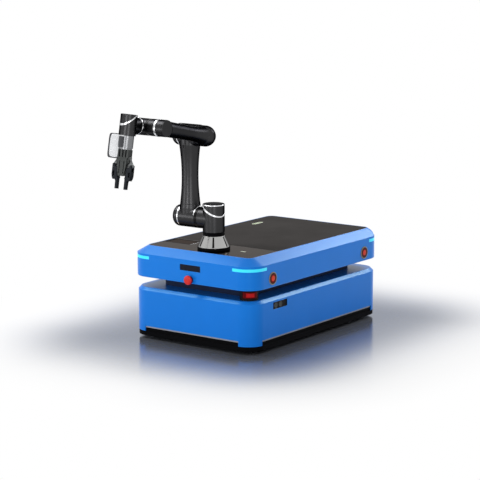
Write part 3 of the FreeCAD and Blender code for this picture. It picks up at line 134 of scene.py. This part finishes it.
# Tints of the mirror reflection; on the metals they darken it towards the edges
EDGE_DARK = (0.36, 0.35, 0.345, 1.0)
SCREEN_EDGE = (0.29, 0.27, 0.26, 1.0)
SKY = (0.35, 1.0, 0.95, 1.0)
METAL_EDGE = (0.12, 0.12, 0.13, 1.0)
MAT = {
    "blue": material("blue_paint", srgb(20, 120, 222), 0.3, specular=0.28, tint=SKY, spread=0.03, grain=0.04,
                     edge=0.0025),
    "black": material("black_powder", srgb(8, 8, 10), 0.6, specular=0.03, grain=0.25, spread=0.15),
    # Painted shade: the neck band's dark navy is the blue paint darkened as it is in the shade of the gap
    # between the shells
    "shaded_blue": material("navy_band", srgb(18, 34, 66), 0.5, specular=0.15, grain=0.15, spread=0.1),
    "rubber": material("grey_rubber", srgb(158, 160, 166), 0.7, specular=0.2, grain=0.3, spread=0.1),
    "deck": material("deck_sheet", srgb(68, 66, 65), 0.6, specular=0.0, grain=0.3, grain_scale=1400.0),
    "panel": material("gloss_panel", srgb(88, 83, 79), 0.12, metallic=1.0, tint=EDGE_DARK, spread=0.05,
                      grain=0.01),
    "cyan": material("light_cyan", srgb(50, 214, 240), 0.3, glow=0.35),
    "screen": material("screen_glass", srgb(62, 54, 50), 0.1, metallic=1.0, tint=SCREEN_EDGE, grain=0.0),
    "pale": material("pale_plastic", srgb(205, 214, 190), 0.4),
    "bezel": material("bezel_metal", srgb(44, 45, 47), 0.5, specular=0.0, grain=0.1),
    "black_gloss": material("black_gloss", srgb(10, 16, 34), 0.12, specular=0.15, grain=0.01),
    "red": material("signal_red", srgb(205, 26, 20), 0.3, specular=0.35, spread=0.06, grain=0.05),
    "lens": material("lamp_lens", srgb(110, 18, 12), 0.2, specular=0.08, edge=FINE_EDGE),
    "orange": material("lamp_orange", srgb(200, 52, 26), 0.25, specular=0.15, glow=0.12, edge=FINE_EDGE),
    "lamp_ring": material("lamp_ring", srgb(150, 132, 108), 0.3, specular=0.3, edge=FINE_EDGE),
    "dark": material("dark_plastic", srgb(16, 16, 19), 0.5, specular=0.1, grain=0.2, spread=0.12),
    "scan_dark": material("scanner_window", srgb(40, 3, 7), 0.2, specular=0.05, edge=FINE_EDGE),
    # Painted light: the scanner window's mid and bright reds, the bright one glowing, make its middle look
    # lit
    "scan_mid": material("scanner_mid", srgb(104, 8, 13), 0.2, specular=0.05, edge=FINE_EDGE),
    "scan_painted_glow": material("scanner_red", srgb(182, 20, 24), 0.2, specular=0.1, glow=0.1, edge=FINE_EDGE),
    "beige": material("connector_beige", srgb(84, 86, 84), 0.5, specular=0.1, grain=0.15),
    "tyre": material("tyre_rubber", srgb(22, 22, 23), 0.8, specular=0.15, grain=0.35, spread=0.2),
    "motor": material("motor_metal", srgb(120, 122, 124), 0.42, metallic=0.8, brushed=(1, 1, 30)),
    "steel": material("fork_steel", srgb(168, 170, 172), 0.32, metallic=0.9, brushed=(1, 30, 1)),
    "battery": material("battery_case", srgb(44, 48, 52), 0.6, grain=0.25),
    "arm": material("arm_anodised", srgb(56, 56, 57), 0.3, metallic=1.0, tint=METAL_EDGE, grain=0.06,
                    spread=0.1),
    "finger": material("finger_black", srgb(36, 38, 41), 0.4, metallic=0.8, tint=METAL_EDGE, grain=0.12),
    "gripper": material("gripper_black", srgb(64, 66, 65), 0.4, metallic=0.8, tint=METAL_EDGE, grain=0.12),
    "seal": material("arm_seal", srgb(5, 5, 6), 0.3, specular=0.1, grain=0.02, edge=FINE_EDGE),
    "cone": material("turned_aluminium", srgb(172, 172, 171), 0.2, metallic=1.0, tint=METAL_EDGE,
                     brushed=(1, 1, 60), grain=0.08),
    "chrome": material("polished_ring", srgb(222, 223, 225), 0.24, metallic=1.0, tint=METAL_EDGE, grain=0.0,
                       spread=0.02, edge=FINE_EDGE),
    "white": material("camera_white", srgb(216, 217, 219), 0.35, specular=0.3, spread=0.04, grain=0.008,
                      edge=0.0006),
    "grey": material("camera_grey", srgb(62, 63, 66), 0.4, specular=0.15, grain=0.1, edge=0.0006),
    "adaptor": material("adaptor_silver", srgb(124, 125, 127), 0.28, metallic=0.9, tint=METAL_EDGE,
                        brushed=(1, 1, 40)),
    "link": material("link_grey", srgb(104, 106, 106), 0.36, metallic=0.8, tint=METAL_EDGE, grain=0.1),
}
LOOK = {
    "blue": ["lower_housing", "upper_shell"],
    "black": ["chassis_plate", "caster_turrets", "arm_base_rings"],
    "shaded_blue": ["neck_band"],
    "rubber": ["bumper_strips"],
    "deck": ["payload_deck"],
    "panel": ["front_deck_panel"],
    "cyan": ["led_strips"],
    "screen": ["display_glass"],
    "pale": ["deck_pull", "deck_indicator"],
    "bezel": ["display_bezel"],
    "black_gloss": ["front_sensor_window"],
    "red": ["estop_button"],
    "lens": ["lamp_lenses"],
    "lamp_ring": ["lamp_bezels"],
    "dark": ["lidar_housings", "port_frame", "estop_collar", "camera_body"],
    "scan_dark": ["lidar_windows"],
    "beige": ["port_connectors"],
    "motor": ["drive_units", "control_box"],
    "battery": ["battery_pack"],
    "cone": ["arm_base_cone"],
    "white": ["camera_covers"],
    "adaptor": ["tool_adaptor"],
    "gripper": ["gripper_body"],
    "finger": ["finger_left", "finger_right"],
    "chrome": ["shoulder_trim", "upper_arm_trim", "forearm_trim", "wrist_2_trim"],
}
FINISH = {node: look for look, nodes in LOOK.items() for node in nodes}
FAMILY_LOOK = {"caster_fork": "steel", "caster_wheel": "tyre", "drive_wheel": "tyre", "inner_link": "link",
               "outer_link": "link"}


def finish_of(node):
    """The finish of a CAD node, by name or family; the arm's castings, housings and covers are the rest."""
    if node in FINISH:
        return FINISH[node]
    for start, look in FAMILY_LOOK.items():
        if node.startswith(start):
            return look
    return "arm"


for node_name, node in NODES.items():
    for material_slot in node.material_slots:
        material_slot.material = MAT[finish_of(node_name)]


# ------------------------------------------------------------------ piece builders
def add_piece(name, builder, look, body, smooth_below=35.0):
    """Turns a bmesh into a finished piece that rides on a body."""
    bmesh.ops.recalc_face_normals(builder, faces=builder.faces)
    mesh = bpy.data.meshes.new(name)
    builder.to_mesh(mesh)
    builder.free()
    mesh.polygons.foreach_set("use_smooth", [True] * len(mesh.polygons))
    mesh.set_sharp_from_angle(angle=math.radians(smooth_below))
    piece = bpy.data.objects.new(name, mesh)
    scene.collection.objects.link(piece)
    mesh.materials.append(MAT[look])
    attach(piece, body)
    return piece


def band(name, look, body, origin, axis, section, toward=(1, 0, 0), arc=(0.0, 360.0), steps=144):
    """A band round an axis; section(angle) gives its closed outline as (radius, height) pairs."""
    axis = Vector(axis).normalized()
    toward = (Vector(toward) - Vector(toward).dot(axis) * axis).normalized()
    side = axis.cross(toward)
    whole = arc[1] - arc[0] >= 360.0
    builder = bmesh.new()
    rings = []
    for step in range(steps if whole else steps + 1):
        angle = math.radians(arc[0] + (arc[1] - arc[0]) * step / steps)
        out = toward * math.cos(angle) + side * math.sin(angle)
        rings.append([builder.verts.new(Vector(origin) + out * radius + axis * height)
                      for radius, height in section(angle)])
    for here, there in zip(rings, rings[1:] + (rings[:1] if whole else [])):
        for index in range(len(here)):
            other = (index + 1) % len(here)
            builder.faces.new((here[index], there[index], there[other], here[other]))
    if not whole:
        builder.faces.new(rings[0])
        builder.faces.new(rings[-1])
    return add_piece(name, builder, look, body)


def hoop(inner, outer, low, high, soft=0.0006):
    """A constant section with softened outer corners."""
    outline = [(inner, low), (outer - soft, low), (outer, low + soft),
               (outer, high - soft), (outer - soft, high), (inner, high)]
    return lambda angle: outline


def oblique(inner, outer, centre, slope, lowest, width, ceiling, soft=0.0005):
    """A slanting section: lowest at the bearing `lowest`, and never above `ceiling`."""
    def section(angle):
        fall = outer * math.tan(math.radians(slope)) * math.cos(angle - math.radians(lowest))
        half = width(angle) / 2
        middle = min(centre - fall, ceiling - half)
        return hoop(inner, outer, middle - half, middle + half, soft)(angle)
    return section


def pillow(name, look, body, centre, across, up, half, power, rings, points=64):
    """A rounded plate: rings of a superellipse, each as (scale, height), from its rim to its middle."""
    across, up = Vector(across).normalized(), Vector(up).normalized()
    out = across.cross(up)
    builder = bmesh.new()
    loops = []
    for scale, height in rings:
        loop = []
        for index in range(points):
            angle = 2 * math.pi * index / points
            x, y = math.cos(angle), math.sin(angle)
            x = math.copysign(abs(x) ** (2 / power), x) * half[0] * scale
            y = math.copysign(abs(y) ** (2 / power), y) * half[1] * scale
            loop.append(builder.verts.new(Vector(centre) + across * x + up * y + out * height))
        loops.append(loop)
    for here, there in zip(loops, loops[1:]):
        for index in range(points):
            other = (index + 1) % points
            builder.faces.new((here[index], here[other], there[other], there[index]))
    builder.faces.new(loops[0])
    builder.faces.new(loops[-1])
    return add_piece(name, builder, look, body)


# ------------------------------------------------------------------ arm details
# The joints' own centres and axes carry every detail of the arm.
SHOULDER = Vector(JOINTS["shoulder_lift"]["pos_m"])
ELBOW = Vector(JOINTS["elbow_bend"]["pos_m"])
WRIST = Vector(JOINTS["wrist_1_bend"]["pos_m"])
HAND = Vector(JOINTS["wrist_2_turn"]["pos_m"])
FLANGE = Vector(JOINTS["wrist_3_turn"]["pos_m"])
WRIST_BEND = Vector((WRIST.x, HAND.y, WRIST.z))
FORWARD = Vector(JOINTS["wrist_2_turn"]["axis"])
DOWN = Vector(JOINTS["wrist_3_turn"]["axis"])
ACROSS = FORWARD.cross(DOWN)
UP = Vector((0, 0, 1))
LEFT = Vector((0, 1, 0))

# Skins, bright rims and dark seals that go all the way round a housing:
# name, look, body, slot, centre, axis, (inner radius, outer radius, low end, high end)
ROUND_TRIM = (
    ("shoulder_skin", "arm", "shoulder", "arm_dark", SHOULDER, UP, (0.0494, 0.0504, -0.0575, 0.0630)),
    ("shoulder_rim", "chrome", "shoulder", "bright_ring", SHOULDER, UP, (0.0490, 0.0507, 0.0640, 0.0692)),
    ("shoulder_seal", "seal", "shoulder", "arm_dark", SHOULDER, LEFT, (0.0465, 0.0497, -0.0778, -0.0640)),
    ("elbow_seal", "seal", "forearm", "arm_dark", ELBOW, LEFT, (0.0445, 0.0477, -0.0778, -0.0710)),
    ("wrist_seal", "seal", "forearm", "arm_dark", WRIST, LEFT, (0.0345, 0.0377, -0.1038, -0.0900)),
    ("forearm_band", "chrome", "forearm", "bright_ring", WRIST, LEFT, (0.0372, 0.0388, -0.0570, -0.0480)),
    ("wrist_1_seal", "seal", "wrist_1", "arm_dark", WRIST_BEND, FORWARD, (0.0345, 0.0372, 0.0395, 0.0455)),
    ("wrist_1_rim", "chrome", "wrist_1", "bright_ring", WRIST_BEND, FORWARD,
     (0.0368, 0.0392, 0.0335, 0.0390)),
    ("wrist_2_skin", "arm", "wrist_2", "arm_dark", HAND, -DOWN, (0.0371, 0.0379, -0.0440, 0.0465)),
)
for trim_name, look, body, slot, centre, axis, ring in ROUND_TRIM:
    band(trim_name, look, body, centre, axis, hoop(*ring))

# Painted highlight: a bright metal arc on only the part of the upper arm's lower hub rim where the highlight
# falls
HUB_RIM_HIGHLIGHT = (0.0492, 0.0510, -0.0835, -0.0792)
HUB_RIM_ARC = (262.0, 342.0)
band("upper_arm_rim_highlight", "chrome", "upper_arm", SHOULDER, LEFT, hoop(*HUB_RIM_HIGHLIGHT), arc=HUB_RIM_ARC)

# The low crowned cap on top of the shoulder, from its axis to its rim
SHOULDER_CAP = [(0.0005, 0.0680), (0.0488, 0.0680), (0.0488, 0.0696), (0.0470, 0.0706), (0.0300, 0.0720),
                (0.0005, 0.0724)]
band("shoulder_cap", "black", "shoulder", SHOULDER, UP, lambda angle: SHOULDER_CAP)

# Slanting stripes, with the slope and the bearing of the lowest point in degrees
SHOULDER_SLOPE, SHOULDER_LOWEST, SHOULDER_CEILING = 30.0, 76.0, 0.0630
SHOULDER_WIDEST = 310.0
HAND_SLOPE, HAND_LOWEST, HAND_CEILING = 39.2, -14.6, 0.0462


def shoulder_width(angle):
    """The shoulder's stripe, widest at one bearing and narrowest opposite it."""
    return 0.0080 + 0.0036 * math.cos(angle - math.radians(SHOULDER_WIDEST))


def hand_width(angle):
    """The hand's stripe, a little wider towards the front."""
    return 0.0072 + 0.0015 * math.cos(angle)


shoulder_stripe = band("shoulder_stripe", "chrome", "shoulder", SHOULDER, UP,
                       oblique(0.0500, 0.0508, 0.0445, SHOULDER_SLOPE, SHOULDER_LOWEST, shoulder_width,
                               SHOULDER_CEILING))
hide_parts("shoulder_trim")
hand_stripe = band("wrist_2_stripe", "chrome", "wrist_2", HAND, -DOWN,
                   oblique(0.0376, 0.0384, 0.0320, HAND_SLOPE, HAND_LOWEST, hand_width, HAND_CEILING))
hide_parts("wrist_2_trim")


# ------------------------------------------------------------------ tool details
def tool_point(forward, across, down):
    """A point in the tool's own frame, from the flange, in metres."""
    return FLANGE + FORWARD * forward + ACROSS * across + DOWN * down


# The camera: a soft dark housing and a white crowned cover, as (scale, height) rings over half sizes
HOUSING_CENTRE, HOUSING_HALF = tool_point(-0.0210, -0.0555, 0.0515), (0.0335, 0.0545)
HOUSING_RINGS = [(0.97, 0.0), (1.0, 0.002), (1.0, 0.0340), (0.985, 0.0352), (0.94, 0.0356)]
COVER_CENTRE, COVER_HALF = tool_point(0.0140, -0.0510, 0.0505), (0.0280, 0.0505)
COVER_RINGS = [(1.0, 0.0), (1.0, 0.0010), (0.97, 0.0024), (0.9, 0.0036), (0.75, 0.0047), (0.5, 0.0054),
               (0.1, 0.0058)]
housing = pillow("camera_housing", "grey", "tool", HOUSING_CENTRE, ACROSS, -DOWN,
                 HOUSING_HALF, 7.0, HOUSING_RINGS)
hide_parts("camera_body")
cover = pillow("camera_front", "white", "tool", COVER_CENTRE, ACROSS, -DOWN,
               COVER_HALF, 5.0, COVER_RINGS)
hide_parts("camera_covers")

# A dark clamp part of the way round the tool adaptor, and a white brow at its upper end
CLAMP_ARC, CLAMP_STEPS, CLAMP_SOFT = (-20.0, 115.0), 60, 0.001
band("camera_clamp", "grey", "tool", FLANGE, DOWN,
     hoop(0.0316, 0.0345, 0.0045, 0.0535, CLAMP_SOFT), FORWARD, CLAMP_ARC, CLAMP_STEPS)
band("camera_brow", "white", "tool", FLANGE, DOWN,
     hoop(0.0316, 0.0352, -0.0020, 0.0050, CLAMP_SOFT), FORWARD, CLAMP_ARC, CLAMP_STEPS)

# Painted shade: three flat black sheets on the palm's front face, where its grooves show shade
PALM_TOP, PALM_FOOT = 0.0590, 0.0970
PALM_GROOVE_SHADE_PLACES = (-0.0150, 0.0035, 0.0210)
PALM_GROOVE_SHADE_HALF = (0.0036, 0.0180)
palm = [vert.co - FLANGE for vert in NODES["gripper_body"].data.vertices]
palm_face = max(spot.dot(FORWARD) for spot in palm if spot.dot(DOWN) < PALM_FOOT)
for number, across in enumerate(PALM_GROOVE_SHADE_PLACES):
    slot_middle = tool_point(palm_face, across, (PALM_TOP + PALM_FOOT) / 2)
    pillow("palm_groove_shade_%d" % number, "black", "tool", slot_middle, ACROSS, -DOWN,
           PALM_GROOVE_SHADE_HALF, 6.0, [(1.0, -0.0006), (1.0, 0.0002), (0.9, 0.0004)], 32)

# ------------------------------------------------------------------ base details
# Painted shade: near-black strips laid in the grooves down the bright cone under the arm, evenly spaced, for
# the shade in the grooves
CONE_MIDDLE = Vector((SHOULDER.x, SHOULDER.y, 0.0))
CONE_GROOVE_SHADES, FIRST_GROOVE_SHADE, GROOVE_SHADE_HALF_ARC = 6, 35.0, 4.0
GROOVE_SHADE_SECTION = [(0.0690, 0.4440), (0.0718, 0.4445), (0.0505, 0.4890), (0.0480, 0.4885)]
for number in range(CONE_GROOVE_SHADES):
    bearing = FIRST_GROOVE_SHADE + 360.0 / CONE_GROOVE_SHADES * number
    band("cone_groove_shade_%d" % number, "seal", "base", CONE_MIDDLE, UP,
         lambda angle: GROOVE_SHADE_SECTION, arc=(bearing - GROOVE_SHADE_HALF_ARC, bearing + GROOVE_SHADE_HALF_ARC), steps=8)

# Each signal lamp: a dark red shade, a glowing domed core and a black gasket
lamp_low, lamp_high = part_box("lamp_lenses")
LAMP_RADIUS = (lamp_high.z - lamp_low.z) / 2
LAMP_X = lamp_high.x - LAMP_RADIUS
LAMP_Z = (lamp_high.z + lamp_low.z) / 2
LAMP_FACE = lamp_high.y
SHADE_SECTION = [(0.0120, LAMP_FACE - 0.003), (0.0212, LAMP_FACE - 0.003), (0.0212, LAMP_FACE - 0.0012),
                 (0.0180, LAMP_FACE - 0.0004), (0.0120, LAMP_FACE - 0.0002)]
CORE_SECTION = [(0.0004, LAMP_FACE - 0.003), (0.0152, LAMP_FACE - 0.003), (0.0152, LAMP_FACE - 0.0006),
                (0.0120, LAMP_FACE - 0.0001), (0.0004, LAMP_FACE)]
GASKET = hoop(0.0205, 0.0252, LAMP_FACE - 0.0035, LAMP_FACE - 0.0002, 0.0003)
LAMP_STEPS = 64
for x_side, x_word in ((1, "front"), (-1, "rear")):
    for y_side, y_word in ((1, "left"), (-1, "right")):
        place = Vector((x_side * LAMP_X, 0, LAMP_Z))
        out = LEFT * y_side
        label = x_word + "_" + y_word
        shade = band("lamp_shade_" + label, "lens", "base", place, out,
                     lambda angle: SHADE_SECTION, steps=LAMP_STEPS)
        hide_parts("lamp_lenses")
        band("lamp_core_" + label, "orange", "base", place, out,
             lambda angle: CORE_SECTION, steps=LAMP_STEPS)
        band("lamp_gasket_" + label, "seal", "base", place, out, GASKET, steps=LAMP_STEPS)

# Painted light: each scanner's window is painted brighter towards its outward middle in two steps, and its
# core glows though it is no lamp
window_low, window_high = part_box("lidar_windows")
SCAN_RADIUS = 0.0415
HALO = hoop(0.0405, 0.0417, window_low.z + 0.004, window_high.z - 0.004, 0.0003)
CORE = hoop(0.0405, 0.0419, window_low.z + 0.008, window_high.z - 0.008, 0.0003)
HALO_ARC, CORE_ARC = (-50.0, 50.0), (-27.0, 27.0)
for side, label in ((1, "left"), (-1, "right")):
    place = Vector((side * (window_high.x - SCAN_RADIUS), side * (window_high.y - SCAN_RADIUS), 0))
    outward = (side, side, 0)
    band("scan_halo_" + label, "scan_mid", "base", place, UP, HALO, outward, HALO_ARC, 40)
    band("scan_core_" + label, "scan_painted_glow", "base", place, UP, CORE, outward, CORE_ARC, 24)

# Painted shade and highlight: a flat black sheet for the shade in the display's recessed slot, and a flat
# bright metal strip for the highlight on the bevel at its other end
bezel_low, bezel_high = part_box("display_bezel")
screen_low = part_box("display_glass")[0]
middle_x = (bezel_low.x + bezel_high.x) / 2
slot_y = (bezel_low.y + screen_low.y) / 2
BEVEL_INSET = 0.0035
FLAT_RINGS = [(1.0, -0.0004), (1.0, 0.0002), (0.94, 0.0003)]
ALONG_X, ALONG_Y = (1, 0, 0), (0, 1, 0)
pillow("display_slot_shade", "black", "base", (middle_x, slot_y, bezel_high.z), ALONG_X, ALONG_Y,
       (0.0300, 0.0055), 4.0, FLAT_RINGS)
pillow("display_end_highlight", "chrome", "base", (middle_x, bezel_high.y - BEVEL_INSET, bezel_high.z),
       ALONG_X, ALONG_Y, (0.0440, 0.0022), 8.0, FLAT_RINGS)

# ------------------------------------------------------------------ camera
CAMERA_PLACE = Vector((7.073, 5.087, 2.015))
CAMERA_YAW = math.radians(-143.70)
CAMERA_PITCH = math.radians(-10.43)
CAMERA_ROLL = math.radians(-0.15)
LENS_MM = 140.6
SENSOR_MM = 36.0
look_along = Vector((math.cos(CAMERA_YAW) * math.cos(CAMERA_PITCH),
                     math.sin(CAMERA_YAW) * math.cos(CAMERA_PITCH), math.sin(CAMERA_PITCH)))
camera_data = bpy.data.cameras.new("camera")
camera_data.lens = LENS_MM
camera_data.sensor_width = SENSOR_MM
camera_data.clip_end = 100.0
camera = bpy.data.objects.new("camera", camera_data)
scene.collection.objects.link(camera)
turn = look_along.to_track_quat("-Z", "Y").to_matrix() @ Matrix.Rotation(CAMERA_ROLL, 3, "Z")
camera.matrix_world = Matrix.Translation(CAMERA_PLACE) @ turn.to_4x4()
scene.camera = camera


# ------------------------------------------------------------------ floor, world and lights
# Distances from the base's footprint over which the floor changes, and its values near and far; the darker
# near value is a painted shadow round the base
FLOOR_SIZE = 30.0
FLOOR_DROP = 0.0005
FLOOR_PAINTED_SHADOW = (0.34, 0.36, 0.41, 1)
FLOOR_FAR = (0.86, 0.86, 0.87, 1)
SHADOW_PAINT_REACH = 0.8
MIRROR_REACH, MIRROR_NEAR, MIRROR_FAR, MIRROR_ROUGHNESS = 0.6, 0.8, 0.04, 0.16
WHITE_FROM, WHITE_TO = 0.25, 1.05
WORLD_STRENGTH = 0.38
BACKGROUND_STRENGTH = 1.0


def background_rays(tree):
    """1 for the rays that show the white background: camera, mirror and see-through rays."""
    path = tree.nodes.new("ShaderNodeLightPath")
    total = path.outputs["Is Camera Ray"]
    for ray in ("Is Glossy Ray", "Is Transmission Ray"):
        both = tree.nodes.new("ShaderNodeMath")
        both.operation = "ADD"
        both.use_clamp = True
        tree.links.new(total, both.inputs[0])
        tree.links.new(path.outputs[ray], both.inputs[1])
        total = both.outputs["Value"]
    return total


def distance_fade(tree, near, far, low, high):
    """A value that runs from low to high with the distance from the base's footprint."""
    place = tree.nodes.new("ShaderNodeTexCoord")
    half = (CAD_BOX[0][0], CAD_BOX[0][1], 0.0)
    steps = (("ABSOLUTE", None), ("ADD", half), ("MAXIMUM", (0.0, 0.0, 0.0)), ("LENGTH", None))
    flow = place.outputs["Object"]
    for operation, other in steps:
        node = tree.nodes.new("ShaderNodeVectorMath")
        node.operation = operation
        tree.links.new(flow, node.inputs[0])
        if other:
            node.inputs[1].default_value = other
        flow = node.outputs["Value"] if operation == "LENGTH" else node.outputs["Vector"]
    fade = tree.nodes.new("ShaderNodeMapRange")
    fade.interpolation_type = "SMOOTHSTEP"
    for socket, value in (("From Min", near), ("From Max", far), ("To Min", low), ("To Max", high)):
        fade.inputs[socket].default_value = value
    tree.links.new(flow, fade.inputs["Value"])
    return fade.outputs["Result"]


def make_floor():
    """A pale polished floor with a painted shadow darkening it round the base, that keeps the cast shadow
    and a faint mirror image, and runs out into white.
    """
    mesh = bpy.data.meshes.new("floor")
    builder = bmesh.new()
    bmesh.ops.create_grid(builder, x_segments=1, y_segments=1, size=FLOOR_SIZE)
    builder.to_mesh(mesh)
    builder.free()
    floor = bpy.data.objects.new("floor", mesh)
    floor.location.z = -FLOOR_DROP
    scene.collection.objects.link(floor)
    mat = bpy.data.materials.new("floor_white")
    mat.use_nodes = True
    tree = mat.node_tree
    links = tree.links
    shader = tree.nodes["Principled BSDF"]
    shader.inputs["Roughness"].default_value = 0.9
    shader.inputs["Specular IOR Level"].default_value = 0.0
    # Painted shadow: the floor's colour, and its mirror's, darken towards the base's footprint
    shadow_tone = tree.nodes.new("ShaderNodeMixRGB")
    shadow_tone.inputs["Color1"].default_value = FLOOR_PAINTED_SHADOW
    shadow_tone.inputs["Color2"].default_value = FLOOR_FAR
    links.new(distance_fade(tree, 0.0, SHADOW_PAINT_REACH, 0.0, 1.0), shadow_tone.inputs["Fac"])
    links.new(shadow_tone.outputs["Color"], shader.inputs["Base Color"])
    mirror = tree.nodes.new("ShaderNodeBsdfGlossy")
    mirror.inputs["Roughness"].default_value = MIRROR_ROUGHNESS
    links.new(shadow_tone.outputs["Color"], mirror.inputs["Color"])
    polished = tree.nodes.new("ShaderNodeMixShader")
    links.new(distance_fade(tree, 0.0, MIRROR_REACH, MIRROR_NEAR, MIRROR_FAR), polished.inputs["Fac"])
    links.new(shader.outputs["BSDF"], polished.inputs[1])
    links.new(mirror.outputs["BSDF"], polished.inputs[2])
    glow = tree.nodes.new("ShaderNodeEmission")
    glow.inputs["Strength"].default_value = BACKGROUND_STRENGTH
    seen = tree.nodes.new("ShaderNodeMath")
    seen.operation = "MULTIPLY"
    links.new(background_rays(tree), seen.inputs[0])
    links.new(distance_fade(tree, WHITE_FROM, WHITE_TO, 0.0, 1.0), seen.inputs[1])
    mix = tree.nodes.new("ShaderNodeMixShader")
    links.new(seen.outputs["Value"], mix.inputs["Fac"])
    links.new(polished.outputs["Shader"], mix.inputs[1])
    links.new(glow.outputs["Emission"], mix.inputs[2])
    links.new(mix.outputs["Shader"], tree.nodes["Material Output"].inputs["Surface"])
    mesh.materials.append(mat)


def make_world():
    """A soft even light on the object, and plain white where the background shows."""
    world = bpy.data.worlds.new("studio")
    world.use_nodes = True
    scene.world = world
    tree = world.node_tree
    base = tree.nodes["Background"]
    base.inputs["Color"].default_value = (1, 1, 1, 1)
    base.inputs["Strength"].default_value = WORLD_STRENGTH
    white = tree.nodes.new("ShaderNodeBackground")
    white.inputs["Color"].default_value = (1, 1, 1, 1)
    white.inputs["Strength"].default_value = BACKGROUND_STRENGTH
    mix = tree.nodes.new("ShaderNodeMixShader")
    tree.links.new(background_rays(tree), mix.inputs["Fac"])
    tree.links.new(base.outputs["Background"], mix.inputs[1])
    tree.links.new(white.outputs["Background"], mix.inputs[2])
    tree.links.new(mix.outputs["Shader"], tree.nodes["World Output"].inputs["Surface"])


def softbox(name, place, target, size, power):
    """A rectangular area light of the given size and watts, aimed at a target."""
    data = bpy.data.lights.new(name, "AREA")
    data.shape = "RECTANGLE"
    data.size, data.size_y = size
    data.energy = power
    lamp = bpy.data.objects.new(name, data)
    scene.collection.objects.link(lamp)
    aim = (Vector(target) - Vector(place)).to_track_quat("-Z", "Y").to_matrix().to_4x4()
    lamp.matrix_world = Matrix.Translation(Vector(place)) @ aim


# name, place, target, (width, height), watts
LIGHTS = (
    ("back_high", (-3.6, 0.95, 2.85), (0.0, 0.2, 0.4), (2.1, 1.4), 100),
    ("top", (0.9, -2.3, 3.5), (0.3, 0, 0.4), (1.9, 1.9), 95),
    ("key_front", (3.9, 0.1, 1.05), (0.5, 0, 0.5), (1.0, 1.5), 22),
    ("side_front", (3.1, -2.3, 0.6), (0.5, 0, 0.4), (1.2, 0.9), 12),
    ("fill_camera", (3.35, 2.9, 0.85), (0.5, 0.3, 0.3), (1.2, 1.5), 26),
)
make_floor()
make_world()
for light in LIGHTS:
    softbox(*light)
scene.view_settings.view_transform = "Standard"
